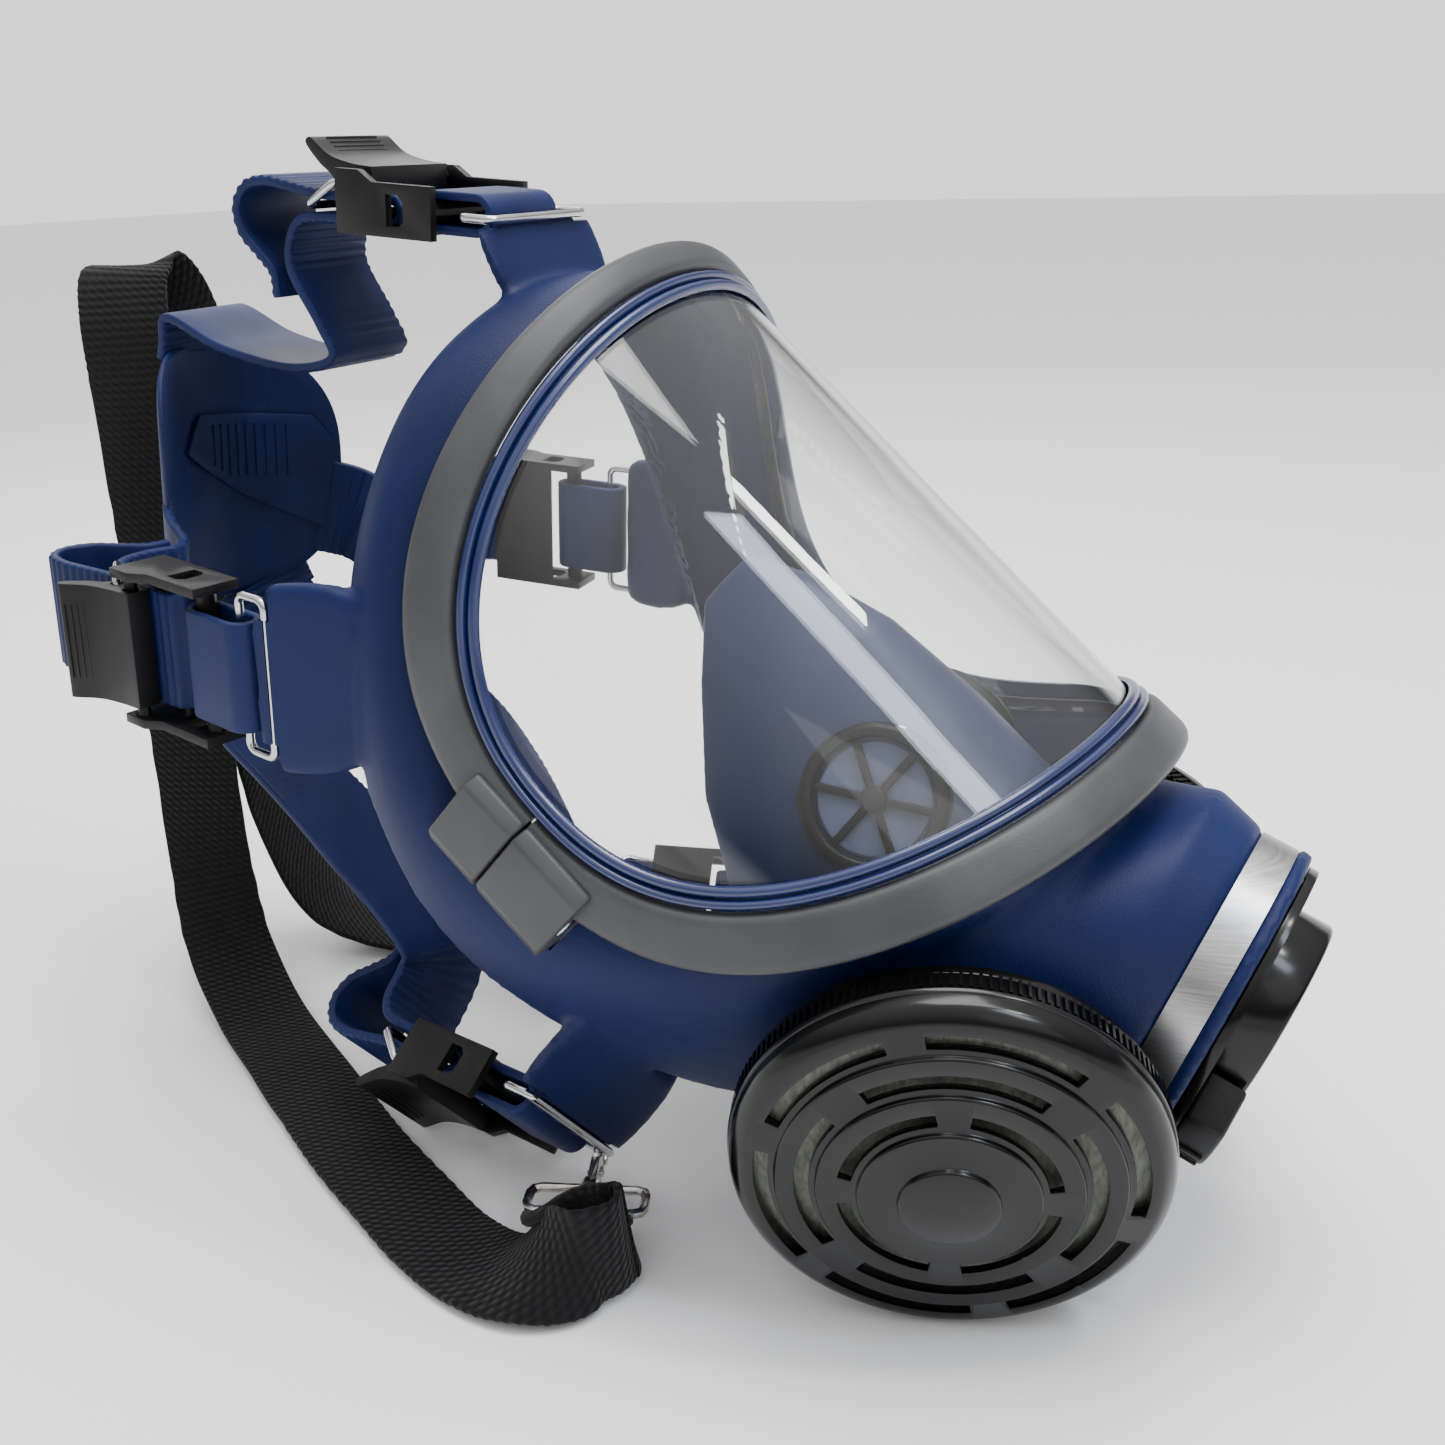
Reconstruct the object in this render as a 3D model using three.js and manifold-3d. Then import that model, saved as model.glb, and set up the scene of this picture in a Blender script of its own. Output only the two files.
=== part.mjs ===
// Full-face respirator, resting on a table on its two filters and its cheek buckles.
// Millimetres. +Z up, the visor faces -Y, the wearer's left is +X.
// Everything is modelled in the mask's own frame and tipped into the resting pose at the end.
// Mask frame: x to the wearer's left, y backwards, z up along the axis of the visor's cylinder.
import * as THREE from "three";
import { mergeVertices } from "three/addons/utils/BufferGeometryUtils.js";
import Module from "manifold-3d";

const wasm = await Module();
wasm.setup();

// Driving dimensions
const restPitch = THREE.MathUtils.degToRad(48.6);
const visorRadius = 75.9;
const visorThickness = 2.5;
const windowHalfHeight = 70;
const windowHalfAngle = THREE.MathUtils.degToRad(87.3);
const windowPower = 2.19;
const outlineSteps = 36;
const wall = 3;
const neckTilt = Math.atan2(0.348, 0.938);
const neckHalfWidth = 34;
const neckHalfDepth = 38;
const grooveDepth = 2;
const bandWidth = 8.2;
const tubeRadius = 22.1;
const tubeLength = 14.1;
const filterRadius = 45;
const filterRings = [34.9, 26.5, 18.1, 9.9];
const filterStep = 1.7;
const slotRows = [[36.6, 39.6, 6], [28.2, 31.2, 4], [19.8, 22.6, 4]];
const strapWidth = 28;
const strapThickness = 2.2;
const loopHalfWidth = 18.5;
const wireRadius = 1;
const webbingWidth = 25;
const floorLevel = -109.9;
const webbingThickness = 1.6;
const restHeight = 109.55;

// Materials
function paint(color, roughness, metalness = 0) {
  return new THREE.MeshStandardMaterial({ color, roughness, metalness });
}

const blueRubber = paint(0x1d2b57, 0.75);
const blueSeal = paint(0x1f3470, 0.3);
const greyPlastic = paint(0x5a5d62, 0.5);
const blackPlastic = paint(0x0c0c0d, 0.25);
const satinBlack = paint(0x17181a, 0.5);
const felt = paint(0x5c6457, 0.95);
const steel = paint(0xb9bcc0, 0.28, 1);
const nickel = paint(0x8f8b86, 0.25, 1);
const webbing = paint(0x101012, 0.95);
const flapRubber = paint(0x7d8aa8, 0.4);
const clear = new THREE.MeshStandardMaterial({
  color: 0xf3f5f4,
  roughness: 0.03,
  transparent: true,
  opacity: 0.2,
});

const model = new THREE.Group();
const mask = new THREE.Group();
model.add(mask);

function place(name, geometry, material, parent = mask) {
  const mesh = new THREE.Mesh(geometry, material);
  mesh.name = name;
  parent.add(mesh);
  return mesh;
}

const vec = (x, y, z) => new THREE.Vector3(x, y, z);

// Closed surface from vertices and triangles, faces turned outwards.
function surface(points, faces) {
  let volume = 0;
  for (const [a, b, c] of faces) {
    volume += points[a].dot(points[b].clone().cross(points[c]));
  }
  const geometry = new THREE.BufferGeometry();
  const numbers = new Float32Array(points.flatMap((p) => p.toArray()));
  geometry.setAttribute("position", new THREE.BufferAttribute(numbers, 3));
  geometry.setIndex(volume > 0 ? faces.flat() : faces.flatMap(([a, b, c]) => [a, c, b]));
  return geometry;
}

// Skin over a row of equal rings: closed end to end, or capped at both ends.
function loft(rings, looped = false) {
  const count = rings[0].length;
  const points = rings.flat();
  const faces = [];
  const rows = looped ? rings.length : rings.length - 1;
  for (let i = 0; i < rows; i += 1) {
    const near = i * count;
    const far = ((i + 1) % rings.length) * count;
    for (let j = 0; j < count; j += 1) {
      const next = (j + 1) % count;
      faces.push([near + j, far + j, far + next], [near + j, far + next, near + next]);
    }
  }
  if (!looped) {
    for (const [row, turn] of [[0, 1], [rings.length - 1, 0]]) {
      const middle = rings[row].reduce((sum, p) => sum.add(p), vec(0, 0, 0)).divideScalar(count);
      const hub = points.push(middle) - 1;
      for (let j = 0; j < count; j += 1) {
        const here = row * count + j;
        const next = row * count + ((j + 1) % count);
        faces.push(turn ? [hub, here, next] : [hub, next, here]);
      }
    }
  }
  return surface(points, faces);
}

function toSolid(geometry) {
  let bare = geometry.clone();
  bare.deleteAttribute("normal");
  bare.deleteAttribute("uv");
  bare = mergeVertices(bare, 1e-4);
  const index = [];
  for (let i = 0; i < bare.index.count; i += 3) {
    const corner = [bare.index.getX(i), bare.index.getX(i + 1), bare.index.getX(i + 2)];
    if (new Set(corner).size === 3) {
      index.push(...corner);
    }
  }
  return new wasm.Manifold(new wasm.Mesh({
    numProp: 3,
    vertProperties: new Float32Array(bare.attributes.position.array),
    triVerts: new Uint32Array(index),
  }));
}

function toGeometry(solid) {
  const mesh = solid.getMesh();
  const geometry = new THREE.BufferGeometry();
  geometry.setAttribute("position", new THREE.BufferAttribute(new Float32Array(mesh.vertProperties), 3));
  geometry.setIndex(new THREE.BufferAttribute(new Uint32Array(mesh.triVerts), 1));
  return geometry;
}

function join(first, ...others) {
  return toGeometry(others.reduce((sum, other) => sum.add(toSolid(other)), toSolid(first)));
}

function cut(first, ...others) {
  return toGeometry(others.reduce((rest, other) => rest.subtract(toSolid(other)), toSolid(first)));
}

function block(x0, x1, y0, y1, z0, z1) {
  const geometry = new THREE.BoxGeometry(x1 - x0, y1 - y0, z1 - z0);
  return geometry.translate((x0 + x1) / 2, (y0 + y1) / 2, (z0 + z1) / 2);
}

// Cylinder along +Z between two heights.
function rod(radius, z0, z1, sides = 28) {
  const geometry = new THREE.CylinderGeometry(radius, radius, z1 - z0, sides);
  return geometry.rotateX(Math.PI / 2).translate(0, 0, (z0 + z1) / 2);
}

// Solid turned about +Z from a closed outline of [radius, height] pairs.
function turned(outline, sides = 36) {
  const onAxis = outline[0][0] === 0;
  const points = outline.map(([r, h]) => new THREE.Vector2(r, h));
  if (!onAxis) {
    points.push(points[0].clone());
  }
  return toGeometry(toSolid(orient(new THREE.LatheGeometry(points, sides).rotateX(Math.PI / 2))));
}

// Turns the faces of a closed geometry outwards.
function orient(geometry) {
  const bare = geometry.clone();
  bare.deleteAttribute("normal");
  bare.deleteAttribute("uv");
  const merged = mergeVertices(bare, 1e-4);
  const position = merged.attributes.position;
  const points = Array.from({ length: position.count }, (_, i) => vec().fromBufferAttribute(position, i));
  const faces = [];
  for (let i = 0; i < merged.index.count; i += 3) {
    const face = [merged.index.getX(i), merged.index.getX(i + 1), merged.index.getX(i + 2)];
    if (new Set(face).size === 3) {
      faces.push(face);
    }
  }
  return surface(points, faces);
}

// Round wire along a closed path.
function wireLoop(path, radius, sides = 5) {
  const count = path.length;
  const middle = path.reduce((sum, p) => sum.add(p), vec(0, 0, 0)).divideScalar(count);
  const normal = vec(0, 0, 0);
  path.forEach((p, i) => {
    const next = path[(i + 1) % count].clone().sub(middle);
    normal.add(p.clone().sub(middle).cross(next));
  });
  normal.normalize();
  const rings = path.map((p, i) => {
    const before = p.clone().sub(path[(i + count - 1) % count]).normalize();
    const after = path[(i + 1) % count].clone().sub(p).normalize();
    const along = before.clone().add(after).normalize();
    const side = along.clone().cross(normal).normalize();
    const stretch = 1 / Math.max(0.5, along.dot(after));
    return Array.from({ length: sides }, (_, j) => {
      const angle = ((j + 0.5) / sides) * Math.PI * 2;
      return p.clone()
        .addScaledVector(side, Math.cos(angle) * radius * stretch)
        .addScaledVector(normal, Math.sin(angle) * radius);
    });
  });
  return loft(rings, true);
}

// Rounded rectangle as a closed path in the plane of two directions.
function roundedPath(centre, across, along, halfWidth, halfLength, corner) {
  const path = [];
  for (const [sx, sy, start] of [[1, 1, 0], [-1, 1, 1], [-1, -1, 2], [1, -1, 3]]) {
    for (let i = 0; i < 3; i += 1) {
      const angle = (start + i / 2) * (Math.PI / 2);
      path.push(centre.clone()
        .addScaledVector(across, sx * (halfWidth - corner) + Math.cos(angle) * corner)
        .addScaledVector(along, sy * (halfLength - corner) + Math.sin(angle) * corner));
    }
  }
  return path;
}

// Flat band along a path: each stop has a position and the direction of its width.
function ribbon(stops, width, thickness, steps) {
  const curve = new THREE.CatmullRomCurve3(stops.map((s) => s.at), false, "centripetal");
  const rings = [];
  for (let i = 0; i <= steps; i += 1) {
    const t = i / steps;
    const spot = t * (stops.length - 1);
    const low = Math.min(stops.length - 2, Math.floor(spot));
    const along = curve.getTangent(t);
    const across = stops[low].wide.clone().lerp(stops[low + 1].wide, spot - low);
    across.addScaledVector(along, -across.dot(along)).normalize();
    const face = along.clone().cross(across);
    const at = curve.getPoint(t);
    rings.push([[1, 1], [-1, 1], [-1, -1], [1, -1]].map(([a, b]) => at.clone()
      .addScaledVector(across, (a * width) / 2)
      .addScaledVector(face, (b * thickness) / 2)));
  }
  return loft(rings);
}

// ---- Visor, gasket and clamp frame ----

// Point on the visor's cylinder: distance round it, height, and lift off its surface.
// Past the sides the cylinder runs on straight backwards.
function wrap(round, height, lift) {
  const radius = visorRadius + lift;
  const quarter = (visorRadius * Math.PI) / 2;
  if (Math.abs(round) <= quarter) {
    const angle = round / visorRadius;
    return vec(radius * Math.sin(angle), -radius * Math.cos(angle), height);
  }
  return vec(Math.sign(round) * radius, Math.abs(round) - quarter, height);
}

// Point beside the window's outline, moved outwards over the cylinder and off it.
function beside(t, out, lift) {
  const c = Math.cos(t);
  const s = Math.sin(t);
  const power = 2 / windowPower;
  const u = Math.sign(c) * Math.abs(c) ** power;
  const v = Math.sign(s) * Math.abs(s) ** power;
  const halfRound = visorRadius * windowHalfAngle;
  const normal = new THREE.Vector2(
    (Math.sign(c) * Math.abs(u) ** (windowPower - 1)) / halfRound,
    (Math.sign(s) * Math.abs(v) ** (windowPower - 1)) / windowHalfHeight,
  ).normalize();
  return wrap(halfRound * u + out * normal.x, windowHalfHeight * v + out * normal.y, lift);
}

// The frame is narrow over the forehead and wide at the sides and chin.
function frameWidth(t) {
  const up = Math.sin(t);
  return up > 0 ? 12.6 - 4 * up * up : 12.6 - 1.1 * up * up;
}

const turn = Array.from({ length: outlineSteps }, (_, i) => (i / outlineSteps) * Math.PI * 2);

function visorShape() {
  const edge = 2.7;
  const shares = [0.35, 0.65, 0.85, 1];
  const skins = [0, -visorThickness].map((lift) => shares.map((share) => turn.map((t) => {
    const rim = beside(t, edge, 0);
    const round = rim.y <= 0
      ? visorRadius * Math.atan2(rim.x, -rim.y)
      : Math.sign(rim.x) * ((visorRadius * Math.PI) / 2 + rim.y);
    return wrap(round * share, rim.z * share, lift);
  })));
  return loft([...skins[0], ...skins[1].slice().reverse()]);
}

place("visor", visorShape(), clear);

const gasketSection = [
  [-5.2, 0.6], [-5, 1.5], [-3.9, 2.2], [-2.9, 1.5], [-2.2, 2.4], [-0.9, 2.6], [-0.35, 1.8], [-0.35, 0.45],
];
place("visor_gasket", loft(turn.map((t) => gasketSection.map(([a, b]) => beside(t, a, b))), true), blueSeal);

function frameSection(t) {
  const w = frameWidth(t);
  return [
    [0, 0.45], [0.7, 2.7], [1.6, 3.3], [w - 1.2, 3.5], [w, 2.5], [w, -8.5], [w - 2.6, -8.5], [w - 2.6, 0.45],
  ].map(([a, b]) => beside(t, a, b));
}

// Boss at each side, where the two halves of the frame meet.
function boss(side, z0, z1, grow = 0) {
  const low = z0 - grow;
  const high = z1 + grow;
  const outer = visorRadius + 7 + grow;
  const inner = visorRadius - 8.5 - grow;
  const step = visorRadius + 0.6;
  const outline = new THREE.Shape([
    new THREE.Vector2(inner, 6.8 - grow),
    new THREE.Vector2(step, 6.8 - grow),
    new THREE.Vector2(step, -1.5),
    new THREE.Vector2(outer - 3, -2.5 - grow),
    new THREE.Vector2(outer, 0),
    new THREE.Vector2(outer, 16),
    new THREE.Vector2(outer - 4, 21 + grow),
    new THREE.Vector2(inner, 21 + grow),
  ]);
  const geometry = new THREE.ExtrudeGeometry(outline, { depth: high - low, bevelEnabled: false });
  geometry.translate(0, 0, low);
  return side > 0 ? geometry : orient(geometry.scale(-1, 1, 1));
}

function frameHalf(upper) {
  const edge = 0.003;
  const steps = outlineSteps / 2;
  const start = upper ? edge : Math.PI + edge;
  const span = Math.PI - 2 * edge;
  const sections = Array.from({ length: steps + 1 }, (_, i) => frameSection(start + (span * i) / steps));
  const bosses = [1, -1].map((side) => (upper ? boss(side, 0.25, 15) : boss(side, -20, -0.25)));
  return join(loft(sections), ...bosses);
}

place("frame_upper", frameHalf(true), greyPlastic);
place("frame_lower", frameHalf(false), greyPlastic);

// ---- Neck that carries the connector ----

const neckAxis = vec(0, -Math.sin(neckTilt), -Math.cos(neckTilt));
const neckBack = vec(0, Math.cos(neckTilt), -Math.sin(neckTilt));
const neckCentre = vec(0, -46.8, -125.3);

function ovalRing(centre, halfWidth, halfDepth, backwards, steps = 24, power = 2) {
  return Array.from({ length: steps }, (_, i) => {
    const angle = (i / steps) * Math.PI * 2;
    const c = Math.cos(angle);
    const s = Math.sin(angle);
    return centre.clone()
      .addScaledVector(vec(1, 0, 0), halfWidth * Math.sign(c) * Math.abs(c) ** (2 / power))
      .addScaledVector(backwards, halfDepth * Math.sign(s) * Math.abs(s) ** (2 / power));
  });
}

function neckRing(along, halfWidth, halfDepth) {
  return ovalRing(neckCentre.clone().addScaledVector(neckAxis, along), halfWidth, halfDepth, neckBack);
}

function neckShape(inset, end) {
  const groove = Math.max(inset, grooveDepth);
  const topHeight = inset > 0 ? -60 : -70;
  return loft([
    neckRing(end, neckHalfWidth - inset, neckHalfDepth - inset),
    neckRing(0.5, neckHalfWidth - inset, neckHalfDepth - inset),
    neckRing(0.4, neckHalfWidth - groove, neckHalfDepth - groove),
    neckRing(-8.6, neckHalfWidth - groove, neckHalfDepth - groove),
    neckRing(-8.8, neckHalfWidth - inset, neckHalfDepth - inset),
    neckRing(-20, 39 - inset, 41 - inset),
    ovalRing(vec(0, -21, -88), 49 - inset, 44 - inset, vec(0, 1, -0.12), 24, 2.4),
    ovalRing(vec(0, -17, topHeight), 53 - inset, 42 - inset, vec(0, 1, 0), 24, 2.6),
  ]);
}

// ---- Filters ----

const filterCentre = vec(66.1, -9.2, -111);
const filterNormal = vec(0.906, -0.092, -0.412).normalize();

function filterFrame(side) {
  const frame = new THREE.Object3D();
  frame.position.set(side * filterCentre.x, filterCentre.y, filterCentre.z);
  const normal = vec(side * filterNormal.x, filterNormal.y, filterNormal.z);
  frame.quaternion.setFromUnitVectors(vec(0, 0, 1), normal);
  frame.updateMatrix();
  return frame;
}

function arcSlot(inner, outer, middle, span, z0, z1) {
  const shape = new THREE.Shape();
  const steps = 2;
  for (let i = 0; i <= steps; i += 1) {
    const angle = middle - span / 2 + (span * i) / steps;
    const spot = [Math.cos(angle) * outer, Math.sin(angle) * outer];
    if (i === 0) {
      shape.moveTo(...spot);
    } else {
      shape.lineTo(...spot);
    }
  }
  for (let i = steps; i >= 0; i -= 1) {
    const angle = middle - span / 2 + (span * i) / steps;
    shape.lineTo(Math.cos(angle) * inner, Math.sin(angle) * inner);
  }
  return new THREE.ExtrudeGeometry(shape, { depth: z1 - z0, bevelEnabled: false }).translate(0, 0, z0);
}

// Stepped cover: each inner disc stands a step above the one round it, with arc slots between the steps.
function coverShape() {
  const steps = filterRings.map((r, i) => [[r + 0.4, filterStep * (i - 0.7)], [r, filterStep * i]]).flat();
  const dome = turned([
    [0, -13.8], [filterRadius, -13.8], [filterRadius, -5], [44, -3.4], [41.6, -1.9], ...steps, [0, 5.7],
  ], 24);
  const room = turned([[0, -15], [43.2, -15], [43.2, -6], [36, -3.2], [9, 3.1], [0, 3.1]], 20);
  const slots = slotRows.flatMap(([r0, r1, count], row) => Array.from({ length: count }, (_, i) => {
    const pitch = (Math.PI * 2) / count;
    return arcSlot(r0, r1, pitch * (i + row * 0.5), pitch * 0.8, -6, 9);
  }));
  return cut(dome, room, ...slots);
}

const cover = coverShape();
const media = turned([[0, -10.2], [42.2, -10.2], [42.2, -7.4], [36, -4.4], [0, -4.4]], 20);
const base = turned([
  [16, -10.6], [42.6, -10.6], [42.6, -14.1], [44.6, -14.1], [44.6, -16.4], [40, -17.6], [20.6, -19.2],
  [20.6, -26.6], [16, -26.6],
], 24);
const adapter = turned([
  [21.2, -20], [25.5, -20], [25.5, -27.3], [23, -27.3], [23, -33], [21.2, -33],
], 24);

const sides = [["right", -1], ["left", 1]];
for (const [word, side] of sides) {
  const frame = filterFrame(side);
  mask.add(frame);
  place(`filter_adapter_${word}`, adapter.clone(), satinBlack, frame);
  place(`filter_base_${word}`, base.clone(), blackPlastic, frame);
  place(`filter_media_${word}`, media.clone(), felt, frame);
  place(`filter_cover_${word}`, cover.clone(), blackPlastic, frame);
}

// ---- Strap stations: tab, wire loop, rubber loop, buckle, lever, ring ----

// Local axes of a station: x along the strap, y across it, z away from the head.
function stationFrame(at, along, across) {
  const x = along.clone().normalize();
  const y = across.clone().addScaledVector(x, -across.dot(x)).normalize();
  const z = x.clone().cross(y);
  const frame = new THREE.Object3D();
  frame.matrix.makeBasis(x, y, z).setPosition(at);
  frame.matrix.decompose(frame.position, frame.quaternion, frame.scale);
  frame.updateMatrix();
  return frame;
}

const stations = [
  {
    name: "forehead",
    at: vec(0, -60, 108),
    along: vec(0, 0.6, 0.8),
    across: vec(-1, 0, 0),
    root: vec(0, -50, 92),
  },
  ...sides.flatMap(([word, side]) => [
    {
      name: `temple_${word}`,
      at: vec(77 * side, 28, 65.5),
      along: vec(-0.15 * side, 0.6, 0.785),
      across: vec(0, -0.79 * side, 0.61 * side),
      root: vec(70 * side, 13, 50),
      side,
    },
    {
      name: `cheek_${word}`,
      at: vec(58 * side, 70, -51),
      along: vec(-0.2 * side, 0.68, 0.7),
      across: vec(0.613, -0.471 * side, 0.635 * side),
      root: vec(54 * side, 40, -47),
      side,
    },
  ]),
];

const tabWidth = 45;
const notchInner = 13.5;
const notchOuter = 26;
const barAlong = 9;
const crossbarAlong = 21;
const midBar = [33, -0.9];
const axle = [41, 6];
const ringBore = [47.5, 5.4];
const ringBar = [57, -0.9];

// Rod across the strap at a place seen from the side.
function crossRod(radius, along, out, halfLength, sidesCount = 16) {
  return new THREE.CylinderGeometry(radius, radius, halfLength * 2, sidesCount).translate(along, 0, out);
}

function crossExtrude(shape, halfLength) {
  const geometry = new THREE.ExtrudeGeometry(shape, { depth: halfLength * 2, bevelEnabled: false });
  return geometry.rotateX(Math.PI / 2).translate(0, halfLength, 0);
}

function racetrack(from, to, radius, steps = 6) {
  const spots = [];
  for (let i = 0; i <= steps; i += 1) {
    const angle = Math.PI / 2 + (Math.PI * i) / steps;
    spots.push(new THREE.Vector2(from + Math.cos(angle) * radius, Math.sin(angle) * radius));
  }
  for (let i = 0; i <= steps; i += 1) {
    const angle = -Math.PI / 2 + (Math.PI * i) / steps;
    spots.push(new THREE.Vector2(to + Math.cos(angle) * radius, Math.sin(angle) * radius));
  }
  return spots;
}

function shortLoopShape() {
  const shape = new THREE.Shape(racetrack(barAlong, crossbarAlong, 4.9));
  shape.holes.push(new THREE.Path(racetrack(barAlong, crossbarAlong, 2.9)));
  return crossExtrude(shape, 13);
}

function buckleShape() {
  const plate = new THREE.Shape([
    new THREE.Vector2(17, -6), new THREE.Vector2(45, -6), new THREE.Vector2(45, 8.5),
    new THREE.Vector2(38, 8.5), new THREE.Vector2(34, 6), new THREE.Vector2(17, 6),
  ]);
  const slot = new THREE.Path([
    new THREE.Vector2(25, -2.2), new THREE.Vector2(26.5, -3.6), new THREE.Vector2(30, -3.6),
    new THREE.Vector2(30, 3.6), new THREE.Vector2(26.5, 3.6), new THREE.Vector2(25, 2.2),
  ]);
  plate.holes.push(slot);
  const depth = 2.2;
  const near = new THREE.ExtrudeGeometry(plate, { depth, bevelEnabled: false });
  near.rotateX(Math.PI / 2);
  const plates = [near.clone().translate(0, 19, 0), near.clone().translate(0, -19 + depth, 0)];
  const bars = [
    crossRod(2.3, crossbarAlong, 0, 18, 10),
    crossRod(1.1, midBar[0], midBar[1], 18, 8),
    crossRod(1.5, axle[0], axle[1], 18, 8),
    block(26, 45, -18, 18, -6, -5.2),
  ];
  return join(plates[0], plates[1], ...bars);
}

function leverShape() {
  const outline = new THREE.Shape([
    new THREE.Vector2(38, 3.6), new THREE.Vector2(44, 3.4),
    new THREE.Vector2(49.4, 3), new THREE.Vector2(50, 6),
    new THREE.Vector2(54, 9), new THREE.Vector2(58, 13.5), new THREE.Vector2(56.6, 14.6),
    new THREE.Vector2(51, 11), new THREE.Vector2(44, 9.4), new THREE.Vector2(38, 9),
  ]);
  const bar = crossExtrude(outline, 14);
  return cut(bar, crossRod(2, axle[0], axle[1], 20, 10), crossRod(1.5, ringBore[0], ringBore[1], 20, 8));
}

const stationParts = {
  short_loop: shortLoopShape(),
  buckle: buckleShape(),
  lever: leverShape(),
};
const ringMiddle = vec((ringBore[0] + ringBar[0]) / 2, 0, (ringBore[1] + ringBar[1]) / 2);
const ringAlong = vec(ringBar[0] - ringBore[0], 0, ringBar[1] - ringBore[1]);
const ringHalf = ringAlong.length() / 2;
ringAlong.normalize();

const tabs = [];
const bores = [];
for (const station of stations) {
  const frame = stationFrame(station.at, station.along, station.across);
  station.frame = frame;
  mask.add(frame);
  const across = vec(0, 1, 0);
  const loop = roundedPath(vec(barAlong / 2, 0, 0), across, vec(1, 0, 0), loopHalfWidth, barAlong / 2, 2.2);
  place(`wire_loop_${station.name}`, wireLoop(loop, wireRadius), steel, frame);
  place(`short_loop_${station.name}`, stationParts.short_loop.clone(), blueRubber, frame);
  place(`buckle_${station.name}`, stationParts.buckle.clone(), satinBlack, frame);
  place(`lever_${station.name}`, stationParts.lever.clone(), satinBlack, frame);
  const ring = roundedPath(ringMiddle, across, ringAlong, 15.6, ringHalf, 2.2);
  place(`ring_${station.name}`, wireLoop(ring, wireRadius), steel, frame);

  // tab: a pad moulded on the mask, from its root to the wire
  const wide = vec(0, 1, 0).applyQuaternion(frame.quaternion);
  const out = vec(0, 0, 1).applyQuaternion(frame.quaternion);
  const tip = vec(3, 0, 0).applyMatrix4(frame.matrix);
  const rings = [0, 0.45, 0.85, 1].map((share, i) => {
    const at = station.root.clone().lerp(tip, share);
    const half = [tabWidth / 2 - 3, tabWidth / 2, tabWidth / 2 - 0.5, tabWidth / 2 - 2.5][i];
    const thick = [3.4, 3, 2.8, 1.6][i];
    return [[1, 1], [-1, 1], [-1, -1], [1, -1]].map(([a, b]) => at.clone()
      .addScaledVector(wide, a * half)
      .addScaledVector(out, b * thick));
  });
  tabs.push(loft(rings));
  // the wire's long side lies in a square bore, and the tab is notched beside its short sides
  bores.push(block(-1.6, 1.6, -20, 20, -1.6, 1.6).applyMatrix4(frame.matrix));
  for (const end of [1, -1]) {
    const [from, to] = [notchInner * end, notchOuter * end].sort((a, b) => a - b);
    bores.push(block(-2, 8, from, to, -7, 7).applyMatrix4(frame.matrix));
  }
}

// ---- Face blank ----

// Rear edge of the blank and the fullness of its wall, from the forehead down to the chin.
const rearEdge = [
  [0, -32, 101], [22, -30, 98], [42, -20, 90], [58, -4, 76], [68, 14, 58], [73, 29, 38], [74, 40, 16],
  [71, 46, -6], [64, 47, -28], [54, 45, -50], [40, 41, -71], [21, 35, -88], [0, 31, -95],
].map((p) => vec(...p));
const fullness = [
  [0, -58, 100], [24, -56, 98], [48, -46, 92], [68, -28, 78], [80, -6, 56], [84, 10, 32], [85, 20, 8],
  [82, 24, -14], [76, 22, -38], [66, 16, -62], [50, 8, -84], [28, 2, -98], [0, 0, -102],
].map((p) => vec(...p));

function fromTable(table, t) {
  const folded = Math.asin(Math.sin(t));
  const spot = (Math.PI / 2 - folded) / (Math.PI / 12);
  const low = Math.min(table.length - 2, Math.floor(spot + 1e-9));
  const last = table.length - 1;
  const at = (i) => {
    const beyond = i < 0 || i > last;
    const row = i > last ? 2 * last - i : Math.abs(i);
    return beyond ? table[row].clone().multiply(vec(-1, 1, 1)) : table[row];
  };
  const nearby = [at(low - 1), at(low), at(low + 1), at(low + 2)];
  const curve = new THREE.CatmullRomCurve3(nearby, false, "catmullrom");
  const point = curve.getPoint((1 + spot - low) / 3);
  return Math.cos(t) < 0 ? point.multiply(vec(-1, 1, 1)) : point;
}

function blankSection(t) {
  const w = frameWidth(t);
  const start = beside(t, w + 0.6, -9.4);
  const full = fromTable(fullness, t);
  const rear = fromTable(rearEdge, t);
  const bend = (share) => start.clone().multiplyScalar((1 - share) ** 2)
    .addScaledVector(full, 2 * share * (1 - share))
    .addScaledVector(rear, share ** 2);
  const inside = (p, depth) => p.clone().add(vec(0, p.y + 8, 6).sub(p).normalize().multiplyScalar(depth));
  const outer = [0.3, 0.6, 0.85].map(bend);
  const lip = inside(rear, 13).add(vec(0, -9, 0));
  return [
    beside(t, 3.3, -0.1), beside(t, w - 3.2, -0.1), beside(t, w - 3.2, -9.3), start, ...outer, rear,
    lip, inside(lip, 0.5).add(vec(0, -1.6, 0)), inside(rear, 3).add(vec(0, -3, 0)),
    inside(outer[1], wall), inside(outer[0], wall), beside(t, w - 5.5, -10.4), beside(t, 3.3, -5.5),
  ];
}

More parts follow.
